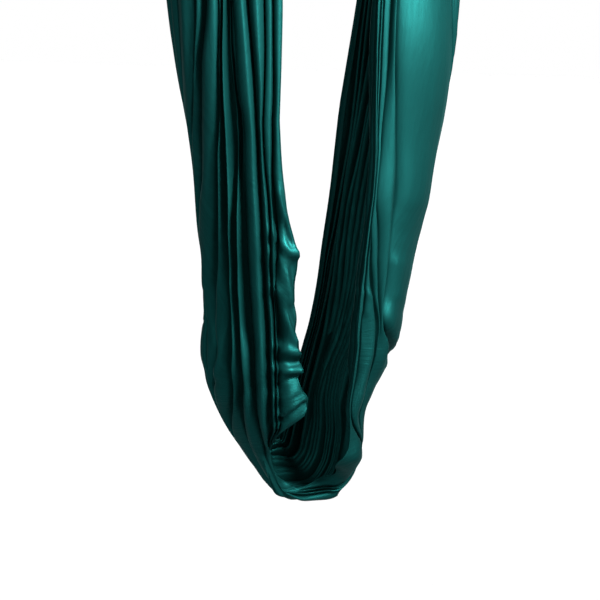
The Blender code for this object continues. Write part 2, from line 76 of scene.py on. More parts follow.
# the same view with its axis through the middle of the frame, so that the camera needs no shift
turn = math.atan((CX - 300.0) / FOCAL)
FWD, RIGHT = FWD * math.cos(turn) - RIGHT * math.sin(turn), RIGHT * math.cos(turn) + FWD * math.sin(turn)

cam_data = bpy.data.cameras.new("camera")
cam_data.sensor_width = 36.0
cam_data.lens = 36.0 * FOCAL / 600.0
cam_data.clip_start, cam_data.clip_end = 0.05, 60.0
camera = bpy.data.objects.new("camera", cam_data)
camera.matrix_world = Matrix(((RIGHT[0], UP[0], -FWD[0], EYE[0]), (RIGHT[1], UP[1], -FWD[1], EYE[1]), (RIGHT[2], UP[2], -FWD[2], EYE[2]), (0, 0, 0, 1)))
bpy.context.scene.collection.objects.link(camera)
bpy.context.scene.camera = camera


def project(p):
    """Where points of the row frame fall in the 600 x 600 frame."""
    q = np.asarray(p, float) - EYE
    z = q @ FWD
    return np.stack([300.0 + FOCAL * (q @ RIGHT) / z, 300.0 - FOCAL * (q @ UP) / z], -1)


# ------------------------------------------------------------------ stage and light
FLOOR_Z = BOTTOM_Z - 0.62


def sun_light(name, towards, energy, angle, color=(1, 1, 1)):
    data = bpy.data.lights.new(name, "SUN")
    data.energy = energy
    data.angle = angle
    data.color = color
    ob = bpy.data.objects.new(name, data)
    ob.rotation_euler = Vector(towards).to_track_quat("Z", "Y").to_euler()
    bpy.context.scene.collection.objects.link(ob)


sun_light("fill", (-0.62, -0.74, 0.34), 1.15, 0.6, (1.0, 0.985, 0.96))
sun_light("overhead", (0.10, 0.62, 0.90), 3.5, 0.9)

# the key is a large soft disc high in front, so the light falls off down the cloth
key_data = bpy.data.lights.new("key", "AREA")
key_data.shape, key_data.size, key_data.energy, key_data.color = "DISK", 1.5, 156.0, (1.0, 0.985, 0.96)
key_data.spread = math.radians(48)
key = bpy.data.objects.new("key", key_data)
key.location = (0.62, -2.45, 0.15)
key.rotation_euler = (Vector(key.location) - Vector((0, 0, -1.34))).to_track_quat("Z", "Y").to_euler()
key.visible_camera = False
bpy.context.scene.collection.objects.link(key)

world = bpy.data.worlds.new("studio")
bpy.context.scene.world = world
world.use_nodes = True
_wt = world.node_tree
_dir = _wt.nodes.new("ShaderNodeTexCoord")
_sep = _wt.nodes.new("ShaderNodeSeparateXYZ")
_ramp = _wt.nodes.new("ShaderNodeValToRGB")
_wt.links.new(_dir.outputs["Generated"], _sep.inputs[0])
_map = _wt.nodes.new("ShaderNodeMapRange")
_map.inputs["From Min"].default_value, _map.inputs["From Max"].default_value = 0.0, 0.20
_wt.links.new(_sep.outputs["Z"], _map.inputs["Value"])
_wt.links.new(_map.outputs["Result"], _ramp.inputs["Fac"])
_ramp.color_ramp.elements[0].position, _ramp.color_ramp.elements[0].color = 0.12, (0.98, 0.98, 0.99, 1)
_ramp.color_ramp.elements[1].position, _ramp.color_ramp.elements[1].color = 0.30, (0.16, 0.165, 0.17, 1)
_wt.links.new(_ramp.outputs["Color"], _wt.nodes["Background"].inputs["Color"])
_wt.nodes["Background"].inputs["Strength"].default_value = 1.0
# the room that lights the object is dim above; the backdrop itself is plain white
_white = _wt.nodes.new("ShaderNodeBackground")
_white.inputs["Color"].default_value = (1, 1, 1, 1)
_white.inputs["Strength"].default_value = 1.0
_rays = _wt.nodes.new("ShaderNodeLightPath")
_pick = _wt.nodes.new("ShaderNodeMixShader")
_wt.links.new(_rays.outputs["Is Camera Ray"], _pick.inputs[0])
_wt.links.new(_wt.nodes["Background"].outputs[0], _pick.inputs[1])
_wt.links.new(_white.outputs[0], _pick.inputs[2])
_wt.links.new(_pick.outputs[0], _wt.nodes["World Output"].inputs["Surface"])
bpy.context.scene.view_settings.view_transform = "Standard"


def new_mesh(name, verts, faces, smooth=True, uv=None):
    mesh = bpy.data.meshes.new(name)
    verts = np.asarray(verts, np.float64)
    mesh.from_pydata(verts.tolist(), [], [list(map(int, f)) for f in faces])
    mesh.validate()
    if smooth:
        mesh.shade_smooth()
    ob = bpy.data.objects.new(name, mesh)
    bpy.context.scene.collection.objects.link(ob)
    return ob


# ------------------------------------------------------------------ materials
class Nodes:
    """A short way of writing a material's nodes."""

    def __init__(self, name):
        self.mat = bpy.data.materials.new(name)
        self.mat.use_nodes = True
        self.tree = self.mat.node_tree
        self.bsdf = self.tree.nodes["Principled BSDF"]

    def add(self, kind, **values):
        node = self.tree.nodes.new(kind)
        for key, value in values.items():
            if hasattr(node, key) and key not in node.inputs.keys():
                setattr(node, key, value)
            else:
                node.inputs[key].default_value = value
        return node

    def link(self, a, out, b, into):
        self.tree.links.new(a.outputs[out], b.inputs[into])

    def set(self, **values):
        for key, value in values.items():
            self.bsdf.inputs[key.replace("_", " ")].default_value = value

    def coords(self, which="Object", scale=(1, 1, 1)):
        tc = self.add("ShaderNodeTexCoord")
        mp = self.add("ShaderNodeMapping")
        mp.inputs["Scale"].default_value = scale
        self.link(tc, which, mp, "Vector")
        return mp

    def noise(self, vector, scale, detail=3.0, roughness=0.5, distortion=0.0):
        n = self.add("ShaderNodeTexNoise")
        n.inputs["Scale"].default_value = scale
        n.inputs["Detail"].default_value = detail
        n.inputs["Roughness"].default_value = roughness
        n.inputs["Distortion"].default_value = distortion
        self.link(vector, "Vector", n, "Vector")
        return n

    def ramp(self, source, out, stops):
        r = self.add("ShaderNodeValToRGB")
        el = r.color_ramp.elements
        while len(el) < len(stops):
            el.new(0.5)
        for e, (pos, col) in zip(el, stops):
            e.position = pos
            e.color = (*col, 1) if len(col) == 3 else col
        self.link(source, out, r, "Fac")
        return r

    def range(self, source, out, lo, hi, frm=(0.0, 1.0)):
        m = self.add("ShaderNodeMapRange")
        m.inputs["From Min"].default_value, m.inputs["From Max"].default_value = frm
        m.inputs["To Min"].default_value, m.inputs["To Max"].default_value = lo, hi
        self.link(source, out, m, "Value")
        return m

    def math(self, op, a, b=None):
        m = self.add("ShaderNodeMath", operation=op)
        for i, x in enumerate((a, b)):
            if x is None:
                continue
            if isinstance(x, tuple):
                self.tree.links.new(x[0].outputs[x[1]], m.inputs[i])
            else:
                m.inputs[i].default_value = x
        return m

    def bump(self, height, out, strength, distance, under=None):
        b = self.add("ShaderNodeBump")
        b.inputs["Strength"].default_value = strength
        b.inputs["Distance"].default_value = distance
        self.link(height, out, b, "Height")
        if under is not None:
            self.link(under, "Normal", b, "Normal")
        return b


def satin(name, base, deep):
    """A shiny knitted cloth: its highlights keep the cloth's own colour."""
    n = Nodes(name)
    uv = n.coords("UV", (1, 1, 1))
    broad = n.noise(uv, 3.1, 4.0, 0.55)
    streak_map = n.coords("UV", (34, 1.6, 1))
    streak = n.noise(streak_map, 4.0, 3.0, 0.6)
    mix = n.add("ShaderNodeMix", data_type="RGBA")
    mix.inputs["A"].default_value = (*base, 1)
    mix.inputs["B"].default_value = (*deep, 1)
    share = n.math("MULTIPLY", (broad, "Fac"), (streak, "Fac"))
    spread = n.range(share, "Value", 0.0, 1.0, (0.12, 0.42))
    n.link(spread, "Result", mix, "Factor")
    n.link(mix, "Result", n.bsdf, "Base Color")
    rough = n.range(streak, "Fac", 0.47, 0.60, (0.25, 0.75))
    n.link(rough, "Result", n.bsdf, "Roughness")
    n.set(Metallic=0.80)
    n.set(Specular_IOR_Level=0.18)
    n.set(Sheen_Weight=0.0)
    n.bsdf.inputs["Specular Tint"].default_value = (0.05, 0.42, 0.42, 1)
    # knit wales along the cloth and courses across it, below a millimetre apart
    wales = n.add("ShaderNodeTexWave", wave_type="BANDS", bands_direction="X")
    wales.inputs["Scale"].default_value = 190.0
    courses = n.add("ShaderNodeTexWave", wave_type="BANDS", bands_direction="Y")
    courses.inputs["Scale"].default_value = 150.0
    n.link(uv, "Vector", wales, "Vector")
    n.link(uv, "Vector", courses, "Vector")
    knit = n.math("MULTIPLY", (wales, "Fac"), (courses, "Fac"))
    fine = n.bump(knit, "Value", 0.10, 0.0002)
    soft = n.noise(n.coords("UV", (16, 3, 1)), 5.0, 3.0, 0.55)
    coarse = n.bump(soft, "Fac", 0.45, 0.0020, fine)
    n.link(coarse, "Normal", n.bsdf, "Normal")
    return n.mat


CLOTH = satin("satin_knit", (0.0026, 0.0315, 0.0305), (0.0018, 0.0235, 0.0228))


def plain(name, color, rough, metal=0.0):
    n = Nodes(name)
    v = n.noise(n.coords("Object"), 180.0, 4.0, 0.6)
    r = n.range(v, "Fac", rough - 0.08, rough + 0.08)
    n.link(r, "Result", n.bsdf, "Roughness")
    n.set(Metallic=metal)
    c = n.ramp(v, "Fac", [(0.3, tuple(x * 0.9 for x in color)), (0.7, tuple(min(1, x * 1.08) for x in color))])
    n.link(c, "Color", n.bsdf, "Base Color")
    return n.mat


floor = new_mesh("floor", [(-40, -40, FLOOR_Z), (40, -40, FLOOR_Z), (40, 40, FLOOR_Z), (-40, 40, FLOOR_Z)], [(0, 1, 2, 3)], smooth=False)
floor.data.materials.append(plain("pale_floor", (0.88, 0.88, 0.88), 0.8))
# the key is flagged off the floor, so that no bright patch under the seat lights it from below, and off the metal
flagged = bpy.data.collections.new("flagged_from_key")
key.light_linking.receiver_collection = flagged


def flag(ob):
    flagged.objects.link(ob)
    flagged.collection_objects[len(flagged.objects) - 1].light_linking.link_state = "EXCLUDE"


flag(floor)


# ------------------------------------------------------------------ the hanging curve, as in the CAD
OUTER_LEFT = [
    (0.026, 0.000), (0.029, 0.030), (0.045, 0.060), (0.078, 0.084), (0.113, 0.107), (0.148, 0.131), (0.184, 0.152), (0.217, 0.168), (0.255, 0.181), (0.305, 0.1885),
    (0.390, 0.193), (0.520, 0.209), (0.700, 0.239), (0.900, 0.275), (1.080, 0.302), (1.250, 0.322), (1.450, 0.338), (1.650, 0.349), (1.850, 0.3545), (2.016, 0.3550)]
OUTER_RIGHT = [
    (0.026, 0.000), (0.030, 0.034), (0.045, 0.062), (0.074, 0.083), (0.116, 0.094), (0.182, 0.110), (0.245, 0.134), (0.300, 0.157),
    (0.390, 0.183), (0.520, 0.208), (0.700, 0.239), (0.900, 0.275), (1.080, 0.302), (1.250, 0.322), (1.450, 0.338), (1.650, 0.349), (1.850, 0.3545), (2.016, 0.3550)]
# (share, half width, back lip, front lip on the left, front lip on the right)
SECTIONS = np.array([
    (0.00, 0.112, 0.060, 0.046, 0.046), (0.06, 0.116, 0.062, 0.056, 0.066), (0.14, 0.120, 0.074, 0.078, 0.114),
    (0.24, 0.119, 0.098, 0.098, 0.166), (0.36, 0.116, 0.124, 0.102, 0.202), (0.50, 0.114, 0.138, 0.130, 0.230),
    (0.62, 0.106, 0.128, 0.128, 0.196), (0.74, 0.086, 0.104, 0.104, 0.138), (0.86, 0.058, 0.076, 0.077, 0.090),
    (0.94, 0.038, 0.056, 0.056, 0.058), (1.00, 0.0245, 0.0480, 0.0480, 0.0480)])


def catmull(points, count_each=12):
    pts = [np.array(p, float) for p in points]
    pts = [2 * pts[0] - pts[1]] + pts + [2 * pts[-1] - pts[-2]]
    out = []
    for i in range(1, len(pts) - 2):
        p0, p1, p2, p3 = pts[i - 1], pts[i], pts[i + 1], pts[i + 2]
        for k in range(count_each):
            t = k / count_each
            out.append(0.5 * (2 * p1 + (p2 - p0) * t + (2 * p0 - 5 * p1 + 4 * p2 - p3) * t * t + (3 * p1 - p0 - 3 * p2 + p3) * t ** 3))
    out.append(pts[-2])
    return np.array(out)


def smooth1(y, width):
    """A plain running mean by a bell of that width, in samples."""
    n = int(max(1, round(width * 2.5)))
    x = np.arange(-n, n + 1)
    k = np.exp(-(x / max(width, 1e-6)) ** 2)
    k /= k.sum()
    pad = np.concatenate([2 * y[0] - y[n:0:-1], y, 2 * y[-1] - y[-2:-n - 2:-1]])
    return np.convolve(pad, k, "valid")


dense = catmull([(-x, z) for z, x in OUTER_LEFT[:0:-1]] + [(x, z) for z, x in OUTER_RIGHT], 24)
run = np.r_[0, np.cumsum(np.linalg.norm(np.diff(dense, axis=0), axis=1))]
LENGTH = run[-1]
DENSE_T = run / LENGTH * 2 - 1
dense_s = np.stack([smooth1(dense[:, 0], 5), smooth1(dense[:, 1], 5)], 1)
tangent_d = np.gradient(dense_s, axis=0)
tangent_d /= np.linalg.norm(tangent_d, axis=1)[:, None]


def curve_at(t):
    """(point x, z), tangent and inward normal of the hanging curve at t from -1 to 1."""
    p = np.stack([np.interp(t, DENSE_T, dense[:, 0]), np.interp(t, DENSE_T, dense[:, 1])], -1)
    g = np.stack([np.interp(t, DENSE_T, smooth1(tangent_d[:, 0], 8)), np.interp(t, DENSE_T, smooth1(tangent_d[:, 1], 8))], -1)
    g /= np.linalg.norm(g, axis=-1)[..., None]
    return p, g, np.stack([-g[..., 1], g[..., 0]], -1)


def ease(x, a, b):
    s = np.clip((np.asarray(x, float) - a) / (b - a), 0, 1)
    return s * s * (3 - 2 * s)


def table(t, rows):
    """Values read from (t, value) rows with soft corners."""
    rows = sorted(rows)
    x = np.array([r[0] for r in rows]); y = np.array([r[1] for r in rows])
    t = np.asarray(t, float)
    i = np.clip(np.searchsorted(x, t) - 1, 0, len(x) - 2)
    s = np.clip((t - x[i]) / (x[i + 1] - x[i]), 0, 1)
    m = np.gradient(y, x)
    h = x[i + 1] - x[i]
    out = (2 * s ** 3 - 3 * s ** 2 + 1) * y[i] + (s ** 3 - 2 * s ** 2 + s) * h * m[i] + (-2 * s ** 3 + 3 * s ** 2) * y[i + 1] + (s ** 3 - s ** 2) * h * m[i + 1]
    return np.clip(out, np.minimum(y[i], y[i + 1]), np.maximum(y[i], y[i + 1]))


NB = 301        # points that a smooth section is known by
Q_MAX = 1.12    # sections are known a little past the CAD's front selvage

# where the front flank's fold lies (a share of the section), and how far the border past it turns into the cup
RIM_Q = [(-1, 0.86), (-0.42, 0.84), (-0.24, 0.83), (-0.15, 0.80), (-0.11, 0.75), (-0.08, 0.68), (-0.04, 0.625), (0.02, 0.62), (0.06, 0.66), (0.10, 0.74), (0.16, 0.80), (0.22, 0.86), (0.42, 0.94), (1, 0.94)]
TURN_IN = [(-1, 0), (-0.105, 0.0), (-0.085, 0.30), (-0.068, 0.85), (-0.050, 1.0), (-0.01, 1.0), (0.015, 0.85), (0.045, 0.30), (0.07, 0.0), (1, 0)]


# and the direction that it takes: down into the cup on the left, level under the right lip
TURN_TO = [(-1, -408), (-0.030, -404), (-0.008, -352), (0.030, -354), (1, -356)]


def base_section(t, plain=False):
    """The smooth section at t: (u, v) from the back selvage to past the front one, its inward normal, the CAD section's length and the curvature."""
    share = abs(t)
    a = np.interp(share, SECTIONS[:, 0], SECTIONS[:, 1])
    lip_b = np.interp(share, SECTIONS[:, 0], SECTIONS[:, 2])
    lip_f = np.interp(share, SECTIONS[:, 0], SECTIONS[:, 3 if t < 0 else 4])
    if share < 0.06:
        both = [np.interp(share, SECTIONS[:, 0], SECTIONS[:, k]) for k in (3, 4)]
        w = ease(t, -0.06, 0.06)
        lip_f = both[0] * (1 - w) + both[1] * w
    quarter = 0.5 * math.pi * (0.97 if share < 0.9 else 0.97 + 0.38 * (share - 0.9) / 0.1)
    j = np.linspace(1, -1, 801)
    u = a * np.sin(j * quarter) / (math.sin(quarter) if quarter < math.pi / 2 else 1.0)
    v = np.where(j < 0, lip_f, lip_b) * (1 - np.cos(j * quarter)) / (1 - math.cos(quarter))
    length = np.r_[0, np.cumsum(np.hypot(np.diff(u), np.diff(v)))]
    full = length[-1]
    q = np.linspace(0, full, 801)
    u, v = np.interp(q, length, u), np.interp(q, length, v)
    u[1:-1] = smooth1(u, 6.0)[1:-1]
    v[1:-1] = smooth1(v, 6.0)[1:-1]
    step = full / 800
    heading = np.unwrap(np.arctan2(np.gradient(v), np.gradient(u)))     # about -90, -180, -270 degrees
    heading -= round((heading[400] + math.pi) / (2 * math.pi)) * 2 * math.pi
    heading = np.r_[heading, np.full(int(800 * (Q_MAX - 1)) + 2, heading[-1])]
    w = 0.0 if plain else float(table(t, TURN_IN))
    if w > 0:
        rim = int(float(table(t, RIM_Q)) * 800)
        s = (np.arange(len(heading)) - rim) * step
        e = ease(s, -0.010, 0.034) * w
        target = np.radians(float(table(t, TURN_TO)) + 10.0 * np.clip(s / 0.05, 0, 1))
        heading = heading * (1 - e) + target * e
    mid = 400
    cu, cv = np.cos(heading) * step, np.sin(heading) * step
    uu = np.r_[0, np.cumsum((cu[1:] + cu[:-1]) / 2)]
    vv = np.r_[0, np.cumsum((cv[1:] + cv[:-1]) / 2)]
    uu += u[mid] - uu[mid]
    vv += v[mid] - vv[mid]
    length = np.arange(len(uu)) * step
    q = np.linspace(0, full * Q_MAX, NB)
    u, v = np.interp(q, length, uu), np.interp(q, length, vv)
    h = np.interp(q, length, heading)
    nu, nv = np.sin(h), -np.cos(h)          # to the inside of the channel
    turning = np.abs(np.gradient(h)) / (full * Q_MAX / (NB - 1))
    return u, v, nu, nv, full, smooth1(turning, 4.0)


# stations along the cloth, closer together round the seat
_tt = np.linspace(-1, 1, 4001)
_rho = 1 + 3.2 * ease(_tt, -0.48, -0.36) * (1 - ease(_tt, 0.24, 0.36))
_cum = np.r_[0, np.cumsum((_rho[1:] + _rho[:-1]) / 2)]
NS = 300
T = np.interp(np.linspace(0, _cum[-1], NS), _cum, _tt)
T[0], T[-1] = -1, 1
P, G, N = curve_at(T)
QB = np.linspace(0, Q_MAX, NB)


def place(i, u, v):
    return np.stack([P[i, 0] + N[i, 0] * v, u, BOTTOM_Z + P[i, 1] + N[i, 1] * v], -1)


base = [base_section(t) for t in T]
BU, BV, BNU, BNV = (np.array([b[k] for b in base]) for k in range(4))
BV += 0.0045 * (ease(T, 0.10, 0.16) * (1 - ease(T, 0.22, 0.30)))[:, None] * (1 - ease(QB, 0, 0.14))
BV += 0.0240 * np.exp(-((T - 0.015) / 0.060) ** 2)[:, None] * (1 - ease(QB, 0, 0.30))
ARC = np.array([b[4] for b in base])
CURV = np.array([b[5] for b in base])


def lift(i, q, depth):
    """Points at station i, at share q across and depth inward, in the row frame."""
    u = np.interp(q, QB, BU[i]) + np.interp(q, QB, BNU[i]) * depth
    v = np.interp(q, QB, BV[i]) + np.interp(q, QB, BNV[i]) * depth
    return place(i, u, v)


# how far the cloth stands out from the CAD's smooth section, from one selvage to the other
SHARE = np.abs(T)
swell = (0.0035 + 0.0060 * ease(-T, 0.34, 0.44)) * ease(SHARE, 0.16, 0.30) * (1 - ease(SHARE, 0.60, 0.85))
swell += 0.0045 * np.exp(-((T - 0.040) / 0.022) ** 2) - 0.0030 * np.exp(-((T + 0.055) / 0.030) ** 2)
swell -= 0.0085 * np.exp(-((T - 0.100) / 0.017) ** 2) + 0.0075 * np.exp(-((T - 0.128) / 0.017) ** 2)
swell += 0.0045 * np.exp(-((T - 0.152) / 0.019) ** 2) + 0.0042 * np.exp(-((T - 0.181) / 0.016) ** 2) - 0.0050 * np.exp(-((T - 0.345) / 0.040) ** 2)
swell += 0.0050 * np.exp(-((T - 0.026) / 0.012) ** 2) - 0.0035 * np.exp(-((T - 0.108) / 0.010) ** 2)
swell -= 0.0030 * np.exp(-((T + 0.247) / 0.016) ** 2) + 0.0030 * np.exp(-((T + 0.147) / 0.010) ** 2)
swell -= 0.0130 * ease(T, 0.412, 0.500) * (1 - ease(T, 0.56, 0.75))
swell -= 0.0042 * np.exp(-((T + 0.205) / 0.030) ** 2) + 0.0035 * np.exp(-((T + 0.325) / 0.040) ** 2) + 0.0050 * np.exp(-((T + 0.033) / 0.018) ** 2)


def hold(q):
    return ease(q, 0.0, 0.08) * (1 - ease(q, 0.86, 0.97))


# the standing cloth's smooth surface as the camera sees it, for placing lines read off the photograph
_plain = [base_section(t, True) for t in T]
GRID = project(np.array([place(i, b[0] - swell[i] * hold(QB) * b[2], b[1] - swell[i] * hold(QB) * b[3]) for i, b in enumerate(_plain)]))
# the edges of the wide openings on the left turn in a little, so they are placed on a surface just inside it
GRID_LEFT = project(np.array([place(i, b[0] + (0.005 - swell[i] * hold(QB)) * b[2], b[1] + (0.005 - swell[i] * hold(QB)) * b[3]) for i, b in enumerate(_plain)]))
GRID_IN = project(np.array([place(i, b[0] + 0.016 * b[2], b[1] + 0.016 * b[3]) for i, b in enumerate(_plain)]))


def find(points, t_range, q_range, grid=GRID):
    """(t, q) on the smooth cloth of points given in the 600 x 600 frame."""
    rows = np.where((T >= t_range[0]) & (T <= t_range[1]))[0]
    cols = np.where((QB >= q_range[0]) & (QB <= q_range[1]))[0]
    sub = grid[rows[0]:rows[-1] + 1, cols[0]:cols[-1] + 1]
    out = []
    for x, y in points:
        d = (sub[..., 0] - x) ** 2 + (sub[..., 1] - y) ** 2
        i, j = np.unravel_index(np.argmin(d), d.shape)
        i = min(max(i, 1), sub.shape[0] - 2)
        j = min(max(j, 1), sub.shape[1] - 2)
        ei = (sub[i + 1, j] - sub[i - 1, j]) / 2
        ej = (sub[i, j + 1] - sub[i, j - 1]) / 2
        r = np.array([x, y]) - sub[i, j]
        det = ei[0] * ej[1] - ei[1] * ej[0]
        a = b = 0.0
        if abs(det) > 1e-6:
            a = np.clip((r[0] * ej[1] - r[1] * ej[0]) / det, -1, 1)
            b = np.clip((ei[0] * r[1] - ei[1] * r[0]) / det, -1, 1)
        out.append((float(np.interp(rows[0] + i + a, np.arange(NS), T)), float(np.interp(cols[0] + j + b, np.arange(NB), QB))))
    return out


def steady(rows):
    """(t, q) rows in order of t, without two at nearly the same t."""
    rows = sorted(rows)
    keep = [rows[0]]
    for r in rows[1:]:
        if r[0] - keep[-1][0] > 0.006:
            keep.append(r)
    return keep


# ------------------------------------------------------------------ the cloth
# The slits between its folds, numbered from the back selvage to the front one. Those that show are
# measured in the 600 x 600 frame as rows (height, left edge, right edge) of the dark opening;
# the others are spread between their neighbours.
KS = 18
LEFT_LINES = {
    9: [(0, 178, 179), (64, 182, 183), (110, 186.5, 187.5), (150, 190.5, 191.5)],
    10: [(0, 195.5, 196.5), (40, 194.5, 195.5), (100, 193.5, 194.5), (150, 194.5, 195.5), (200, 196, 197)],
    11: [(0, 203, 207), (25, 202, 204.5), (50, 198.5, 201), (100, 199, 200.5), (150, 198.5, 201.5), (175, 198.5, 202), (200, 199, 202), (225, 199.5, 201.5), (290, 202, 203)],
    12: [(0, 218, 219), (50, 217.3, 218.3), (100, 217.8, 219), (125, 217, 219.3), (150, 215.5, 217.5), (175, 214, 217), (200, 213, 218), (225, 212, 217), (250, 210.5, 217), (275, 210, 217), (300, 211.5, 217),
         (325, 210, 218), (350, 213.5, 218), (375, 212, 215.5), (400, 216, 217.5)],
    13: [(0, 222, 223), (50, 220.3, 221.3), (75, 220.3, 221.5), (100, 220.6, 222), (125, 221.8, 224), (150, 221, 226), (175, 222, 226), (200, 222, 227), (225, 223, 228), (250, 224, 228.5), (275, 224, 229),
         (300, 225, 231), (325, 225, 231), (350, 225, 231), (375, 225, 231), (400, 226, 233), (425, 230, 234), (445, 237, 238.5)],
    14: [(0, 225, 228), (25, 223.8, 228), (50, 223.5, 228), (75, 225, 229), (100, 226.5, 231), (125, 227.5, 233.5), (150, 229, 234), (175, 230.3, 235.5), (200, 231, 236.5), (225, 231, 236.5), (250, 232, 236.3),
         (275, 233, 236.5), (300, 234, 237), (325, 235.8, 238.3), (350, 237, 239.5), (375, 238.2, 242), (400, 238, 242), (425, 241, 244), (445, 247, 249.5)],
    15: [(0, 229, 231.3), (25, 229.8, 233), (50, 230, 234), (75, 231, 235.5), (100, 233, 238), (125, 236.5, 243), (150, 237, 242.5), (175, 238, 243.5), (200, 239, 244.5), (225, 239.5, 245.5), (250, 239.5, 247),
         (275, 240, 248.5), (300, 241, 251), (325, 243, 251), (350, 247.5, 253), (375, 249.5, 253), (400, 252, 254), (425, 256, 257), (450, 264, 265)],
    16: [(0, 246, 248), (25, 249, 250.5), (50, 251, 252.5), (75, 253, 254.5), (100, 254.6, 255.6), (125, 256, 257), (150, 257.5, 258.4), (175, 258.3, 259.2), (200, 259.6, 260.5), (225, 261, 262), (250, 262.3, 263.3),
         (275, 263, 264.6), (300, 264, 265.6), (325, 265, 268), (350, 266, 268.7), (375, 267, 269.7), (400, 267.5, 271), (425, 268, 272)],
    17: [(0, 264, 265), (50, 264.5, 265.5), (75, 264, 265), (100, 263.2, 264.2), (150, 263.2, 264.2), (175, 265, 266), (200, 267.8, 268.8), (225, 269, 270), (250, 270, 271), (275, 270.6, 271.6), (300, 272.2, 273.2),
         (325, 273.6, 274.6), (350, 274.2, 275.2), (375, 275, 276), (400, 275.6, 276.6), (422, 276.6, 277.6)],
    18: [(0, 273, 274), (50, 273, 274), (100, 273, 274.3), (125, 272, 273.4), (150, 272, 273.5), (175, 271.5, 273), (200, 271.5, 276), (225, 272, 280), (250, 274, 279), (275, 274, 275), (300, 275, 276),
         (325, 275.8, 280), (344, 276.8, 278), (376, 277.6, 278.6), (422, 279.2, 280.2)],
}
LEFT_SEAT = {9: 0.33, 10: 0.36, 11: 0.39, 12: 0.42, 13: 0.45, 14: 0.49, 15: 0.565, 16: 0.665, 17: 0.70, 18: 0.73}
RIGHT_INNER = {
    1: [(0, 357, 360), (25, 353.5, 357), (50, 350.5, 353.5), (75, 347, 350), (100, 343, 345.5), (125, 340, 342.5), (150, 336.5, 339), (175, 333.5, 337), (200, 330, 334), (225, 327, 331.5), (250, 323.5, 327), (275, 319, 322)],
    2: [(0, 367, 368.5), (25, 363.8, 365.6), (50, 360, 363), (75, 357, 361), (100, 355, 359.5), (125, 352, 357), (150, 347, 353), (175, 342.5, 348.5), (200, 338, 344), (225, 334.5, 340), (250, 330, 335), (275, 325, 329.5)],
    3: [(0, 371.5, 373.5), (25, 371, 373), (50, 369.3, 371.5), (75, 367, 369.5), (100, 365.2, 367.5), (125, 361.8, 363.6), (150, 356, 360), (175, 351, 356), (200, 346.5, 352), (225, 342.5, 347.5), (250, 337.5, 342), (275, 333, 337)],
    4: [(125, 369.5, 372), (150, 364.5, 368), (175, 360, 365), (200, 356, 360), (225, 353, 355.4), (250, 350.5, 352), (275, 349, 351.5)],
}
RIGHT_OUTER = {
    15: [(0, 399, 403), (25, 398, 401), (50, 398, 400.6), (75, 397.5, 401), (100, 399, 401.3), (125, 400, 402), (150, 400.6, 402.3), (175, 400, 402.3), (200, 398, 402), (225, 395, 399), (250, 393, 396.3), (275, 390, 394),
         (300, 387, 391), (325, 383, 388), (350, 379, 381.5), (372, 375.5, 376.5)],
    16: [(0, 392.5, 393.5), (20, 392, 393), (50, 391, 392), (75, 391, 392), (100, 388, 389.5), (125, 384.6, 386), (150, 384, 385.4), (175, 380, 381.2), (200, 378, 379), (225, 380.6, 382), (250, 380.8, 382), (275, 380.4, 381.6),
         (300, 380, 381.2), (325, 380.4, 381.3), (350, 377.2, 377.9)],
    17: [(200, 373.8, 376), (225, 370.6, 373.2), (250, 370.8, 373.2), (275, 370, 373.8), (300, 373.4, 375), (325, 376, 378.8), (350, 374.6, 376), (372, 370.5, 371.5)],
    18: [(275, 366.4, 367), (300, 366, 367), (325, 362, 363.6), (350, 359.3, 363.5), (375, 357.6, 361), (400, 352.8, 355), (425, 353, 355.4), (450, 351, 355)],
}
RIGHT_SEAT = {1: 0.06, 2: 0.11, 3: 0.16, 4: 0.20, 14: 0.49, 15: 0.565, 16: 0.665, 17: 0.70, 18: 0.73}
SELVAGE_LEFT = [(282, 0), (281, 64), (279.5, 127), (282, 170), (284.7, 195), (286.7, 214), (291.4, 233), (296.2, 252), (297.4, 260), (295.9, 281), (295.5, 305), (296.4, 319), (295.8, 344), (299, 356), (301.5, 369),
                (298.5, 380), (300, 388), (306, 397), (306.5, 405), (303, 414), (298, 420), (291, 428), (285, 431)]
SELVAGE_RIGHT = [(379, 0), (377.5, 64), (376.5, 127), (373.5, 195), (369.6, 224), (366.8, 248), (364.8, 267), (361.5, 291), (359.5, 315), (357.7, 334), (356.4, 359), (352.6, 387), (350, 405), (350.9, 430), (349.7, 447), (343.5, 461)]



def slit_tables(lines, seat, t_range, q_range, grid=GRID):
    """For each slit, rows (t, q of its middle) and rows (t, half its opening as a share of the section)."""
    middle, half = {}, {}
    for k, rows in lines.items():
        lo = find([(a, y) for y, a, b in rows], t_range, q_range, grid)
        hi = find([(b, y) for y, a, b in rows], t_range, q_range, grid)
        middle[k] = steady([((a[0] + b[0]) / 2, (a[1] + b[1]) / 2) for a, b in zip(lo, hi)] + [(0.0, seat[k])])
        half[k] = steady([((a[0] + b[0]) / 2, abs(b[1] - a[1]) / 2) for a, b in zip(lo, hi)] + [(0.0, 0.002)])
    return middle, half


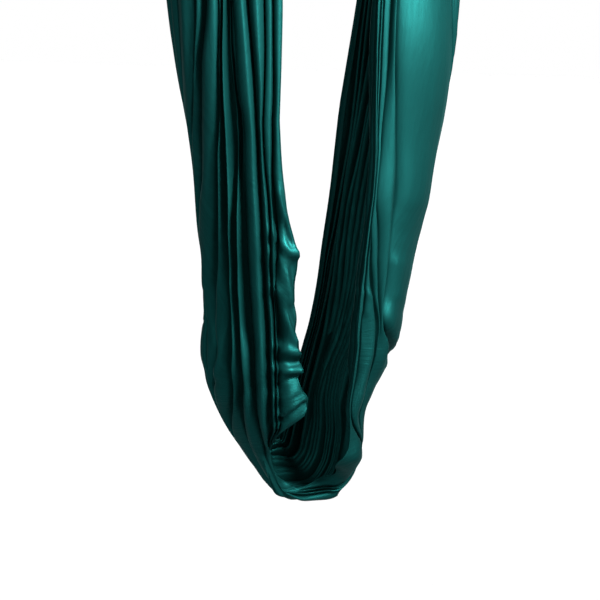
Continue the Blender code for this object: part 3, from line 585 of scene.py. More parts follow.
LEFT_TABLE, LEFT_HALF = slit_tables(LEFT_LINES, LEFT_SEAT, (-0.60, -0.02), (0.36, 1.05), GRID_LEFT)
RIGHT_TABLE, RIGHT_HALF = slit_tables(RIGHT_INNER, RIGHT_SEAT, (0.02, 0.60), (0.0, 0.50), GRID_IN)
_mid, _half = slit_tables(RIGHT_OUTER, RIGHT_SEAT, (0.02, 0.60), (0.46, 1.05))
RIGHT_TABLE.update(_mid)
RIGHT_HALF.update(_half)
RIGHT_TABLE[14] = [(0.0, 0.49), (0.15, 0.455), (0.30, 0.455), (0.38, 0.475), (0.42, 0.55), (0.467, 0.655), (0.52, 0.67)]
END_TABLE = steady(find(SELVAGE_LEFT, (-0.60, -0.085), (0.70, Q_MAX)) + find(SELVAGE_RIGHT, (0.06, 0.60), (0.70, Q_MAX))
                   + [(-1.0, 1.0), (-0.56, 1.0), (0.56, 1.0), (1.0, 1.0), (-0.066, 0.80), (-0.045, 0.74), (-0.022, 0.735), (-0.004, 0.745), (0.012, 0.765), (0.034, 0.80)])
END = smooth1(table(T, END_TABLE), 1.0)

rng = np.random.default_rng(11)
wander = [(rng.uniform(0.10, 0.30), rng.uniform(1.2, 3.4), rng.uniform(0, 6.28), rng.uniform(0.05, 0.16), rng.uniform(5, 9), rng.uniform(0, 6.28)) for _ in range(KS + 2)]


def side_slits(t, rows, first, last, end):
    known = {0: 0.0, KS + 1: end}
    for k, pts in rows.items():
        known[k] = float(table(min(max(t, max(first, pts[0][0])), min(last, pts[-1][0])), pts))
    if t > 0:                       # above where they are measured, the border's slits keep their share of it
        for k, at, top in ((17, 0.66, 0.28), (18, 0.86, 0.18)):
            w = float(ease(t, top, top + 0.05))
            known[k] += (known[16] + (end - known[16]) * at - known[k]) * w
    ks = sorted(known)
    return np.interp(np.arange(KS + 2), ks, [known[k] for k in ks])


SLITS = np.zeros((NS, KS + 2))
for i, t in enumerate(T):
    left = side_slits(t, LEFT_TABLE, -0.46, 0.0, END[i])
    right = side_slits(t, RIGHT_TABLE, 0.0, 0.50, END[i])
    w = float(ease(t, -0.02, 0.06))
    q = left * (1 - w) + right * w
    even = np.arange(KS + 2) / (KS + 1.0)
    up = float(ease(abs(t), 0.50, 0.95))
    q = q * (1 - up) + even * up
    free = np.zeros(KS + 2)
    hidden = list(range(1, 9)) if t < 0 else list(range(4, 14))
    for k in hidden:
        a1, f1, p1, a2, f2, p2 = wander[k]
        free[k] = (q[k + 1] - q[k - 1]) / 2 * (a1 * math.sin(f1 * 6.28 * t + p1) + a2 * math.sin(f2 * 6.28 * t + p2))
    q = q + free * (1 - up)
    q[1:-1] = np.minimum(q[1:-1], q[-1] - 0.003 * (KS + 1 - np.arange(1, KS + 1)))
    gap = np.full(KS + 1, min(0.0048 / ARC[i], 0.6 * q[-1] / (KS + 1)))
    gap[17:] *= 1 - 0.6 * float(ease(t, 0.0, 0.08) * (1 - ease(t, 0.55, 0.75)))
    for _ in range(60):
        short = np.maximum(gap - (q[1:] - q[:-1]), 0) * 0.5
        if short.max() < 1e-6:
            break
        q[1:-1] += short[:-1] - short[1:]
    SLITS[i] = q
for k in range(1, KS + 1):
    SLITS[:, k] = smooth1(SLITS[:, k], 2.2)

# half of each slit's opening, in metres
HALF = np.full((NS, KS + 2), 0.0009)
for i, t in enumerate(T):
    for side, tabs, w in (("left", LEFT_HALF, 1 - float(ease(t, -0.02, 0.04))), ("right", RIGHT_HALF, float(ease(t, -0.01, 0.06)))):
        for k, rows in tabs.items():
            inside = float(ease(t, -0.60, -0.52)) if side == "left" else float(1 - ease(t, 0.50, 0.60))
            HALF[i, k] += w * inside * float(table(min(max(t, rows[0][0]), rows[-1][0]), rows)) * ARC[i]
for k in range(1, KS + 1):
    wl = (SLITS[:, k] - SLITS[:, k - 1]) * ARC
    wr = (SLITS[:, k + 1] - SLITS[:, k]) * ARC
    if 5 <= k <= 13:                # the unmeasured folds of the right strand's inner side stand apart
        HALF[:, k] += ease(T, 0.06, 0.14) * (1 - ease(T, 0.45, 0.60)) * 0.10 * np.minimum(wl, wr)
    HALF[:, k] = smooth1(np.minimum(HALF[:, k], 0.36 * np.minimum(wl, wr)), 2.0)


def noise1(seed, freq, t, octaves=2):
    r = np.random.default_rng(seed)
    out = np.zeros_like(t)
    for o in range(octaves):
        out += np.sin(t * 6.283 * freq * (1.9 ** o) + r.uniform(0, 6.28)) * (0.6 ** o) * r.uniform(0.7, 1.0)
    return out / 1.5


# each fold's shape along the cloth: the depth of its slits, how far its two slopes run, how far the hidden tucks go in
NCAP = 10
TUCK_S = np.array([0.07, 0.30, 0.66, 1.0])
NTUCK = 2 * len(TUCK_S)
COLS = (KS + 1) * NCAP + KS * NTUCK
NARROW = np.interp(SHARE, [0, 0.6, 0.74, 0.86, 0.94, 1.0], [1, 1, 0.92, 0.62, 0.38, 0.24])
open_side = ease(T, 0.02, 0.10) * (1 - ease(T, 0.48, 0.62))             # the right strand, whose inner side shows
seat = ease(T, -0.17, -0.09) * (1 - ease(T, 0.06, 0.16))
DEPTH_OF = {9: 0.35, 10: 0.5, 11: 0.9, 12: 1.2, 13: 1.2, 14: 1.2, 15: 1.3, 16: 1.1, 17: 0.6, 18: 0.9}
# how much of a fold's width its two slopes take, from the photograph where it shows
SLOPE_LEFT = {8: (0.5, 0.3), 9: (0.3, 0.3), 10: (0.45, 0.35), 11: (0.42, 0.5), 12: (0.35, 0.5), 13: (0.4, 0.5), 14: (0.4, 0.4), 15: (0.66, 0.24), 16: (0.40, 0.45), 17: (0.5, 0.4)}

E = np.zeros((NS, KS + 2))
DEEP = np.zeros((NS, KS + 2))
ANGLE = np.zeros((NS, KS + 2))
for k in range(1, KS + 1):
    wl = (SLITS[:, k] - SLITS[:, k - 1]) * ARC
    wr = (SLITS[:, k + 1] - SLITS[:, k]) * ARC
    near = np.minimum(wl, wr)
    far = np.maximum(wl, wr)
    right_boost = {14: 0.55, 15: 1.35, 16: 0.9, 17: 0.5, 18: 0.5, 1: 1.5, 2: 1.5, 3: 1.5, 4: 1.3, 5: 0.8, 6: 0.35, 7: 0.7, 8: 0.3, 9: 0.55, 10: 0.3, 11: 0.65, 12: 0.3, 13: 0.5}.get(k, 0.9)
    boost = DEPTH_OF.get(k, 0.85) + (right_boost - DEPTH_OF.get(k, 0.85)) * ease(T, -0.01, 0.07)
    if k in (17, 18):
        boost = boost + (0.16 - boost) * ease(T, 0.22, 0.34)
        boost = boost + (0.8 - boost) * ease(T, 0.55, 0.75)
    e = np.minimum(0.0115, 0.30 * near + 0.22 * far + 0.0010) * boost * (0.90 + 0.20 * noise1(50 + k, 1.3, T))
    E[:, k] = smooth1(np.clip(e, 0.0006, 0.018) * np.clip(NARROW + 0.25, 0, 1), 3.0)
    curv = np.array([np.interp(SLITS[i, k], QB, CURV[i]) for i in range(NS)])
    deep = (0.054 + (0.008 - 0.006 * open_side) * noise1(80 + k, 0.9, T)) * NARROW
    deep = deep * (1 - (0.78 if k >= 9 else 0.62) * ease(T, -0.15, -0.09) * (1 - ease(T, 0.08, 0.15)))     # the cup is open
    # tucks lie over towards their selvage, more so on the flanks
    lie = np.clip((0.5 - SLITS[:, k]) / 0.30, -1, 1)
    ANGLE[:, k] = smooth1(np.radians(64) * lie * np.interp(SHARE, [0, 0.7, 0.95], [1, 1, 0.4]), 2.0)
    reach = np.where(lie > 0, SLITS[:, k], END - SLITS[:, k]) * ARC
    deep = np.minimum(deep, 0.004 + reach / np.maximum(np.abs(np.sin(ANGLE[:, k])), 0.3) * 0.85)
    deep = np.minimum(deep, E[:, k] + 0.62 / np.maximum(curv, 1e-3) / np.maximum(np.cos(ANGLE[:, k]), 0.3))
    # two slits side by side share one tuck's room
    crowd = ease(wl * np.cos(ANGLE[:, k]), 0.0030, 0.0062)
    deep = np.minimum(deep, 0.010 + 0.060 * crowd)
    DEEP[:, k] = smooth1(np.maximum(deep - E[:, k] * 0.3, 0.004), 6.0)

# Crests (+) and hollows (-) across or beside the long folds, as measured lines in the 600 x 600 frame:
# (line, height, half width on its left, half width on its right in pixels, t range, q range)
BORDER = ((-0.40, -0.062), (0.78, Q_MAX), 1.35)
RIDGES = [
    ([(277, 190), (282, 209), (287, 224), (291.5, 241), (294.5, 252)], 0.0060, 3.0, 3.5, *BORDER),
    ([(271, 231), (276, 239), (281, 246), (289.5, 252), (296, 254)], 0.0120, 4.0, 5.0, *BORDER),
    ([(285, 225), (288, 238), (292, 246)], -0.0060, 3.0, 3.0, *BORDER),
    ([(270, 250), (272.5, 262), (275, 278), (277, 292)], 0.0060, 3.5, 6.0, *BORDER),
    ([(279, 256), (284, 268), (288, 282), (292, 300)], 0.0100, 7.0, 2.6, *BORDER),
    ([(292, 264), (294.5, 285), (294.5, 306)], -0.0080, 3.0, 4.0, *BORDER),
    ([(277, 288), (280, 298), (283, 308), (288, 322), (292, 332), (297, 343)], 0.0110, 5.5, 2.6, *BORDER),
    ([(276, 298), (278, 318), (281, 340)], -0.0110, 4.0, 4.0, *BORDER),
    ([(288, 308), (292, 322), (296, 334)], -0.0070, 3.0, 3.0, *BORDER),
    ([(277, 346), (286, 350), (300, 353)], 0.0110, 4.0, 3.0, *BORDER),
    ([(276, 361), (288, 363), (301, 362)], -0.0110, 3.6, 3.6, *BORDER),
    ([(276, 370), (288, 371), (302, 371)], 0.0095, 3.0, 4.0, *BORDER),
    ([(278, 389), (285, 384), (292, 379), (298, 377)], -0.0110, 4.0, 4.0, *BORDER),
    ([(279, 400), (288, 396), (296, 390)], 0.0060, 5.0, 5.0, *BORDER),
    ([(279.6, 415), (286, 409), (293, 403.5), (303, 398)], 0.0120, 4.0, 3.0, *BORDER),
    ([(280, 422), (287, 420), (295, 411), (303, 402)], -0.0100, 2.6, 2.6, *BORDER),
    ([(279, 427), (284, 431), (290, 428.7), (299, 418.4), (304.8, 410.4)], 0.0080, 2.6, 2.6, *BORDER),
    # the bulge low on the left, and the folds that run into it
    ([(205, 312), (201.5, 328), (199.5, 347), (202, 364), (208, 384)], (0.000, 0.0040, 0.0065, 0.0045, 0.001), 6.0, 5.0, (-0.30, -0.10), (0.25, 0.62)),
    ([(206, 290), (205, 306), (204, 318)], -0.0030, 4.0, 4.0, (-0.30, -0.10), (0.25, 0.62)),
    ([(212, 325), (211.5, 345), (213.5, 362), (218, 378)], 0.0035, 2.5, 2.5, (-0.30, -0.10), (0.36, 0.62)),
    ([(207, 320), (206.5, 345), (208.5, 365), (214, 382)], -0.0035, 2.5, 2.5, (-0.30, -0.10), (0.36, 0.62)),
    # the right strand's broad panel
    ([(411, -40), (413, 60), (414, 120), (412, 190), (406, 250)], -0.0030, 6.0, 8.0, (0.15, 0.60), (0.50, 0.98)),
    ([(424, -40), (426, 60), (423, 130), (416, 200)], 0.0035, 8.0, 10.0, (0.15, 0.60), (0.46, 0.98)),
    ([(400, 262), (399, 280), (399, 298)], 0.0040, 2.5, 3.0, (0.15, 0.60), (0.46, 0.98)),
    ([(406, 205), (404, 230), (402, 250), (399, 312), (396, 330)], (0.0, -0.0060, -0.0060, -0.0050, 0.0), 3.5, 4.5, (0.12, 0.60), (0.46, 0.98)),
    ([(412, 215), (409, 245), (406, 275), (401, 305), (396, 330)], (0.0, 0.0045, 0.0055, 0.0050, 0.0), 3.5, 3.5, (0.12, 0.60), (0.46, 0.98)),
    ([(417, 205), (414, 235), (410.5, 262), (406, 290), (401, 318)], (0.0, -0.0040, -0.0050, -0.0040, 0.0), 3.0, 3.0, (0.12, 0.60), (0.46, 0.98)),
    ([(393, 300), (389, 325), (384, 350), (378, 372)], (0.0, 0.0040, 0.0040, 0.0), 3.0, 4.0, (0.10, 0.40), (0.46, 0.98)),
    ([(397, 318), (392, 340), (386, 362), (379, 385)], (0.0, -0.0035, -0.0035, 0.0), 2.5, 3.0, (0.10, 0.40), (0.46, 0.98)),
    ([(448, -40), (445, 0), (442, 64), (436, 127), (427, 190), (419, 240)], (0.009, 0.009, 0.009, 0.008, 0.005, 0.0), 24.0, 7.0, (0.15, 0.62), (0.40, 0.90)),
    # folds that stay low inside the wide openings
    ([(229, -40), (228.5, 0), (229, 50), (230, 75), (232, 100), (235, 125), (235.7, 150), (237, 180), (238, 215)], (-0.024, -0.024, -0.024, -0.024, -0.024, -0.024, -0.020, -0.009, 0.0), 3.2, 3.2, (-0.62, -0.16), (0.36, 0.80)),
    ([(220.5, -40), (219.5, 50), (219.8, 100), (220.4, 125), (220.6, 165)], (-0.008, -0.008, -0.007, -0.004, 0.0), 1.8, 1.8, (-0.62, -0.18), (0.36, 0.80)),
    # bright crests of the left strand
    ([(216, -40), (215.5, 0), (214.5, 64), (213, 127), (208.6, 200), (208.2, 243), (206.5, 290), (204, 318)], 0.0060, 4.0, 3.0, (-0.62, -0.10), (0.30, 0.80)),
    ([(184, -40), (184, 0), (187, 64), (191, 115), (194, 165)], (0.0035, 0.0035, 0.0035, 0.002, 0.0), 2.6, 2.6, (-0.62, -0.16), (0.20, 0.60)),
    ([(192, -40), (192, 0), (194, 64), (198, 110)], (0.0035, 0.0035, 0.0020, 0.0), 2.4, 2.4, (-0.62, -0.16), (0.20, 0.60)),
    ([(201.5, -40), (201.5, 0), (200, 60)], (0.0030, 0.0030, 0.0), 2.0, 2.0, (-0.62, -0.16), (0.20, 0.60)),
    # the right lip: an S-shaped fold and the ridge round the cup
    ([(366, 293), (373, 297), (376, 310), (377, 330), (373, 350), (366, 374), (361, 398), (359, 428), (358.5, 440), (355, 458)], 0.0030, 4.0, 3.5, (0.02, 0.30), (0.60, 1.05)),
    ([(366, 318), (366, 345), (361, 370), (357, 396), (355, 425), (354, 445)], -0.0040, 3.5, 3.0, (0.02, 0.30), (0.60, 1.05)),
    ([(380, 40), (379, 90), (380, 140)], -0.0020, 4.0, 4.0, (0.25, 0.60), (0.90, 1.05)),
]


def line_reach(px, line, heights, left, right, power):
    """The height at each point of px: the line's own on it, fading over left and right pixels on its two sides."""
    pts = np.array(line, float)
    best = np.full(px.shape[:-1], 1e9)
    side = np.zeros(px.shape[:-1])
    tall = np.zeros(px.shape[:-1])
    for a, b, ha, hb in zip(pts[:-1], pts[1:], heights[:-1], heights[1:]):
        ab = b - a
        f = np.clip(((px - a) @ ab) / (ab @ ab), 0, 1)
        near = a + f[..., None] * ab
        d = np.linalg.norm(px - near, axis=-1)
        s = ab[0] * (px[..., 1] - a[1]) - ab[1] * (px[..., 0] - a[0])
        take = d < best
        best = np.where(take, d, best)
        side = np.where(take, s, side)
        tall = np.where(take, ha + (hb - ha) * f, tall)
    width = np.where(side > 0, left, right)
    return tall * np.exp(-(best / width) ** power)


def ridge_lift(i, q, px):
    out = np.zeros(len(q))
    for line, height, wl, wr, (t0, t1), (q0, q1), *power in RIDGES:
        if not t0 < T[i] < t1:
            continue
        box = np.array(line)
        m = (q > q0) & (q < q1) & (px[:, 1] > box[:, 1].min() - 3 * max(wl, wr)) & (px[:, 1] < box[:, 1].max() + 3 * max(wl, wr))
        if m.any():
            edge = ease(T[i], t0, t0 + 0.02) * (1 - ease(T[i], t1 - 0.02, t1)) * ease(q[m], q0, q0 + 0.03)
            heights = np.interp(np.linspace(0, 1, len(line)), np.linspace(0, 1, len(height)), height) if isinstance(height, tuple) else np.full(len(line), height)
            out[m] += line_reach(px[m], line, heights, wl, wr, power[0] if power else 2.0) * edge
    return out


V = np.zeros((NS, COLS, 3))
UVS = np.zeros((NS, COLS))
Q_OF = np.zeros((NS, COLS))
for i in range(NS):
    arc = ARC[i]
    sig = SLITS[i] * arc
    xs, ds = [], []
    for k in range(KS + 1):
        a0, a1 = sig[k] + (HALF[i, k] if k > 0 else 0), sig[k + 1] - (HALF[i, k + 1] if k < KS else 0)
        w = max(a1 - a0, 0.0005)
        e0, e1 = (E[i, k] if k > 0 else 0.0), (E[i, k + 1] if k < KS else 0.0)
        sl, sr = SLOPE_LEFT.get(k, (0.42, 0.42)) if T[i] < 0.03 else (0.36 + 0.14 * math.sin(2.1 * k), 0.38 + 0.14 * math.cos(1.7 * k))
        al = min(max(sl * w, 0.6 * e0), 0.024, 0.62 * w) if k > 0 else 0.2 * w
        ar = min(max(sr * w, 0.6 * e1), 0.024, 0.92 * w - al, 0.62 * w) if k < KS else 0.2 * w
        x = np.r_[0, 0.14 * al, 0.45 * al, np.linspace(al, w - ar, 4), w - 0.45 * ar, w - 0.14 * ar, w]
        dl = e0 * (1 - np.clip(x / al, 0, 1)) ** 1.75
        dr = e1 * (1 - np.clip((w - x) / ar, 0, 1)) ** 1.75
        crown = 0.06 * min(w, 0.05) * np.sin(math.pi * x / w)
        xs.extend((a0 + x).tolist())
        ds.extend((dl + dr - crown).tolist())
        if k < KS:
            kk = k + 1
            e, L, ang = E[i, kk], DEEP[i, kk], ANGLE[i, kk]
            c = sig[kk]
            room = min(sig[kk] - sig[kk - 1], sig[kk + 1] - sig[kk])
            tip = min(0.0030, 0.16 * room + 0.0006)
            # the middle line turns from the normal towards its lean
            s = TUCK_S * L
            turn_s = ang * (1 - np.exp(-s / 0.007))
            fine = np.linspace(0, L, 25)
            fa = ang * (1 - np.exp(-fine / 0.007))
            mx = -np.r_[0, np.cumsum((np.sin(fa[1:]) + np.sin(fa[:-1])) / 2)] * (fine[1] - fine[0])
            md = np.r_[0, np.cumsum((np.cos(fa[1:]) + np.cos(fa[:-1])) / 2)] * (fine[1] - fine[0])
            cx_, cd_ = np.interp(s, fine, mx), np.interp(s, fine, md)
            open_ = HALF[i, kk]
            half = np.array([0.96, 0.74, 0.36, 0.0]) * (open_ - 0.0009) + np.array([0.0009, 0.0010, 0.0012, 0.6 * tip])
            ox, od = np.cos(turn_s) * half, np.sin(turn_s) * half
            xs.extend((c + cx_ - ox).tolist())
            ds.extend((e + cd_ - od).tolist())
            xs.extend((c + cx_ + ox)[::-1].tolist())
            ds.extend((e + cd_ + od)[::-1].tolist())
    xs, ds = np.array(xs), np.array(ds)
    qq = np.clip(xs / arc, 0, Q_MAX)
    flat_len = np.r_[0, np.cumsum(np.hypot(np.diff(xs), np.diff(ds)))]
    out = swell[i] * hold(qq)
    V[i] = lift(i, qq, ds - out - ridge_lift(i, qq, project(lift(i, qq, -out))))
    UVS[i] = flat_len
    Q_OF[i] = qq


def add_uv(mesh, u_of, v_of):
    layer = mesh.uv_layers.new(name="UVMap")
    idx = np.zeros(len(mesh.loops), int)
    mesh.loops.foreach_get("vertex_index", idx)
    uv = np.stack([u_of[idx], v_of[idx]], -1).astype(np.float32)
    layer.data.foreach_set("uv", uv.ravel())


def grid_faces(rows, cols):
    a = (np.arange(rows - 1)[:, None] * cols + np.arange(cols - 1)[None]).ravel()
    return np.stack([a, a + 1, a + cols + 1, a + cols], 1)


def build_grid(name, pts, us, vs, material, body):
    rows, cols = pts.shape[:2]
    ob = new_mesh(name, pts.reshape(-1, 3), grid_faces(rows, cols))
    add_uv(ob.data, us.ravel(), vs.ravel())
    ob.data.materials.append(material)
    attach(ob, body)
    return ob


ALONG = np.r_[0, np.cumsum(np.linalg.norm(np.diff(V[:, COLS // 2], axis=0), axis=1))]
cloth = build_grid("hammock_cloth", V, UVS, np.repeat(ALONG[:, None], COLS, 1), CLOTH, "hammock")
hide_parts("sling_cloth")


def frames(path):
    """Tangents and two steady cross directions along a path."""
    path = np.asarray(path, float)
    tan = np.gradient(path, axis=0)
    tan /= np.linalg.norm(tan, axis=1)[:, None]
    first = np.cross(tan[0], (0, 1, 0) if abs(tan[0][1]) < 0.9 else (1, 0, 0))
    a = np.zeros_like(path)
    a[0] = first / np.linalg.norm(first)
    for k in range(1, len(path)):
        v = a[k - 1] - tan[k] * (a[k - 1] @ tan[k])
        a[k] = v / np.linalg.norm(v)
    return tan, a, np.cross(tan, a)


def sweep_tube(name, path, section, material, body, closed_path=False, caps=True, start_dir=None):
    """section(k, share) gives points (m, 2) round the path's k-th point, in its two cross directions."""
    path = np.asarray(path, float)
    n = len(path)
    tan, a, b = frames(path)
    if start_dir is not None:
        d = np.asarray(start_dir, float)
        b = np.repeat(d[None], n, 0)
        a = np.cross(b, tan)
        a /= np.linalg.norm(a, axis=1)[:, None]
        b = np.cross(tan, a)
    rings = []
    for k in range(n):
        sec = section(k, k / (n - 1.0))
        rings.append(path[k] + sec[:, :1] * a[k] + sec[:, 1:] * b[k])
    rings = np.array(rings)
    m = rings.shape[1]
    verts = rings.reshape(-1, 3)
    faces = []
    turns = n if closed_path else n - 1
    for k in range(turns):
        k2 = (k + 1) % n
        for j in range(m):
            faces.append((k * m + j, k * m + (j + 1) % m, k2 * m + (j + 1) % m, k2 * m + j))
    if caps and not closed_path:
        faces.append(tuple(range(m))[::-1])
        faces.append(tuple((n - 1) * m + j for j in range(m)))
    ob = new_mesh(name, verts, faces)
    around = np.linalg.norm(np.diff(rings[n // 2], axis=0), axis=1)
    uu = np.tile(np.r_[0, np.cumsum(around)], n)
    along = np.r_[0, np.cumsum(np.linalg.norm(np.diff(path, axis=0), axis=1))]
    add_uv(ob.data, uu, np.repeat(along, m))
    ob.data.materials.append(material)
    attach(ob, body)
    return ob


def circle(radius, m=8, squash=1.0):
    t = np.arange(m) / m * 2 * math.pi
    return np.stack([radius * np.cos(t), radius * squash * np.sin(t)], 1)


# rolled hems along both selvages
for name, col in (("hammock_back_hem", 0), ("hammock_front_hem", COLS - 1)):
    sweep_tube(name, V[:, col], lambda k, f: circle(0.0011, 8), CLOTH, "hammock")

# ------------------------------------------------------------------ the choke knots and their free tails
ANCHOR_X = 0.330
ROD_Z = -0.5642
knot_cloth = CLOTH
for side, sgn in (("left", -1), ("right", 1)):
    x0, out = sgn * ANCHOR_X, sgn
    node = f"{side}_choke_knot"
    # the gathered end over the carabiner's rod
    path = [(x0 - out * 0.0110, 0.001, ROD_Z - 0.078), (x0 - out * 0.0144, 0, ROD_Z - 0.058), (x0 - out * 0.0168, 0, ROD_Z - 0.030), (x0 - out * 0.0199, 0, ROD_Z - 0.010)]
    path += [(x0 + out * 0.0205 * math.cos(math.pi - math.pi * k / 16), 0, ROD_Z + 0.0205 * math.sin(math.pi * k / 16)) for k in range(17)]
    path += [(x0 + out * 0.0199, 0, ROD_Z - 0.010), (x0 + out * 0.0168, 0, ROD_Z - 0.030), (x0 + out * 0.0144, 0, ROD_Z - 0.058), (x0 + out * 0.0110, 0.001, ROD_Z - 0.078)]
    path = catmull(path, 4)

    def bundle(k, f, seed=3 + sgn):
        t = np.arange(132) / 132 * 2 * math.pi
        wave = 1 + 0.060 * np.cos(11 * t + 1.3 * math.sin(5 * f)) + 0.035 * np.cos(17 * t - 2.1 * f + seed) + 0.02 * np.cos(5 * t + 4 * f)
        wave = wave - 0.095
        return np.stack([0.0135 * wave * np.cos(t), 0.0190 * wave * np.sin(t)], 1)

    loop = sweep_tube(f"{side}_knot_loop", path, bundle, knot_cloth, "hammock", start_dir=(0, 1, 0))
    # three turns of the collar, each a band of gathered cloth laid a little askew
    levels = np.array([(0.00, 0.60), (0.05, 0.86), (0.18, 1.02), (0.30, 0.92), (0.42, 1.08), (0.55, 1.10), (0.66, 0.94), (0.80, 1.02), (0.92, 0.88), (1.00, 0.62)])
    rows_n, cols_n = 150, 180
    s = np.linspace(0, 1, rows_n)
    th = np.arange(cols_n) / cols_n * 2 * math.pi
    S, TH = np.meshgrid(s, th, indexing="ij")
    lay = S + 0.045 * np.sin(TH + 0.6 * sgn) * np.sin(math.pi * S)
    body_r = np.interp(lay, levels[:, 0], levels[:, 1])
    # grooves between the turns
    groove = sum(np.exp(-((lay - g0) / 0.022) ** 2) for g0 in (0.30, 0.66))
    fold = 0.5 + 0.5 * np.cos(2 * math.pi * (lay * 17 + 0.35 * np.sin(2 * TH + sgn) + 0.22 * np.sin(5 * TH + 2 * S)))
    small = 0.5 + 0.5 * np.cos(2 * math.pi * (lay * 31 + 0.5 * np.sin(TH * 3 + 1)))
    r = body_r * (1 - 0.085 * groove) - 0.040 * (1 - fold ** 0.7) - 0.014 * (1 - small)
    tuck_in = np.clip(np.minimum(S / 0.03, (1 - S) / 0.03), 0, 1)
    r = r * (0.55 + 0.45 * np.sqrt(tuck_in))
    shift = 0.004 * np.sin(2 * math.pi * S)
    cx = x0 + out * (0.004 + shift)
    zz = ROD_Z - 0.043 - 0.079 * S
    pts = np.stack([cx + 0.0345 * r * np.cos(TH), 0.002 + 0.0365 * r * np.sin(TH), zz], -1)
    pts = np.concatenate([pts, pts[:, :1]], 1)
    arc_u = np.repeat((np.r_[th, 2 * math.pi] * 0.035)[None], rows_n, 0)
    collar = build_grid(f"{side}_knot_collar", pts, np.repeat(S[:, :1] * 0.10, cols_n + 1, 1), arc_u, knot_cloth, "hammock")
    bm = bmesh.new()
    bm.from_mesh(collar.data)
    bmesh.ops.remove_doubles(bm, verts=bm.verts, dist=1e-6)
    bm.to_mesh(collar.data)
    bm.free()
    # the free tail: one pleated end that leaves the collar on the outer side
    stations = np.array([(-0.06, 0.006, 0.010, 0.010), (0.00, 0.016, 0.012, 0.014), (0.08, 0.030, 0.012, 0.018), (0.18, 0.044, 0.010, 0.023), (0.32, 0.052, 0.009, 0.029),
                         (0.50, 0.055, 0.0085, 0.034), (0.70, 0.056, 0.0085, 0.039), (0.88, 0.057, 0.009, 0.043), (1.00, 0.058, 0.008, 0.044)])
    rows_n, cols_n = 96, 400
    s = np.linspace(-0.06, 1.0, rows_n)
    p = np.linspace(0, 1, cols_n)
    S, PP = np.meshgrid(s, p, indexing="ij")
    dx, hx, hy = (np.interp(S, stations[:, 0], stations[:, k]) for k in (1, 2, 3))
    dx = np.apply_along_axis(lambda c: smooth1(c, 3.0), 0, dx)
    folds = 10
    phase = 2 * math.pi * folds * (PP + 0.012 * np.sin(5.0 * S + 9 * PP) + 0.010 * np.sin(17 * PP + sgn)) + 0.5 * np.sin(3.2 * S + sgn)
    amp = hx * (0.80 + 0.16 * np.sin(13 * PP + 2.2 * S + sgn)) * (0.92 - 0.25 * np.clip(S, 0, 1) * np.sin(7 * PP) ** 2)
    zig = np.sin(phase)
    over = 0.42 * np.sin(2 * phase) * (hy / folds)          # folds lean over each other
    end_round = np.sqrt(np.clip(1 - (2 * PP - 1) ** 8, 0, 1))
    yy = 0.004 + hy * (2 * PP - 1) * 0.94 + over
    zz = ROD_Z - 0.072 - 0.190 * S - 0.004 * np.sin(4.5 * PP + sgn) * np.clip(S, 0, 1) + 0.004
    xx = x0 + out * dx + amp * zig * (0.35 + 0.65 * end_round)
    pts = np.stack([xx, yy, zz], -1)
    across = np.r_[0, np.cumsum(np.linalg.norm(np.diff(pts[-1], axis=0), axis=1))]
    uu = np.repeat(across[None], rows_n, 0)
    vv = np.repeat(((s - s[0]) * 0.190)[:, None], cols_n, 1)
    tail = build_grid(f"{side}_tail", pts, uu, vv, knot_cloth, "hammock")
    hem = sweep_tube(f"{side}_tail_hem", pts[-1], lambda k, f: circle(0.0010, 8), knot_cloth, "hammock")
    for piece in (loop, collar, tail, hem):
        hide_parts(node)

# ------------------------------------------------------------------ the daisy-chain straps
def webbing(name):
    """A dense polyester webbing: ribs across it, herringbone down it, two thin lines of the cloth's colour."""
    n = Nodes(name)
    uv = n.coords("UV", (1, 1, 1))
    sep = n.add("ShaderNodeSeparateXYZ")
    n.link(uv, "Vector", sep, "Vector")
    ribs = n.add("ShaderNodeTexWave", wave_type="BANDS", bands_direction="Y")
    ribs.inputs["Scale"].default_value = 190.0
    ribs.inputs["Distortion"].default_value = 0.6
    ribs.inputs["Detail Scale"].default_value = 30.0
    n.link(uv, "Vector", ribs, "Vector")
    twill = n.add("ShaderNodeTexWave", wave_type="BANDS", bands_direction="DIAGONAL")
    twill.inputs["Scale"].default_value = 260.0
    n.link(uv, "Vector", twill, "Vector")
    weave = n.math("ADD", (ribs, "Fac"), (twill, "Fac"))
    fuzz = n.noise(n.coords("UV", (1, 1, 1)), 900.0, 2.0, 0.6)
    # the tracer lines lie at two heights of the webbing's width, on both faces
    line = None
    for at in WEB_LINES:
        d = n.math("ABSOLUTE", (n.math("SUBTRACT", (sep, "X"), at), "Value"))
        near = n.range(d, "Value", 1.0, 0.0, (0.00045, 0.00065))
        line = near if line is None else n.math("MAXIMUM", (line, "Result" if line.bl_idname == "ShaderNodeMapRange" else "Value"), (near, "Result"))
    shade = n.ramp(weave, "Value", [(0.2, (0.006, 0.0065, 0.007)), (1.0, (0.030, 0.031, 0.034))])
    mix = n.add("ShaderNodeMix", data_type="RGBA")
    n.link(shade, "Color", mix, "A")
    mix.inputs["B"].default_value = (0.012, 0.115, 0.110, 1)
    n.link(line, "Value", mix, "Factor")
    n.link(mix, "Result", n.bsdf, "Base Color")
    rough = n.range(fuzz, "Fac", 0.62, 0.82)
    n.link(rough, "Result", n.bsdf, "Roughness")
    n.set(Sheen_Weight=0.25, Specular_IOR_Level=0.35)
    b = n.bump(weave, "Value", 0.55, 0.0005)
    b2 = n.bump(fuzz, "Fac", 0.15, 0.0002, b)
    n.link(b2, "Normal", n.bsdf, "Normal")
    return n.mat


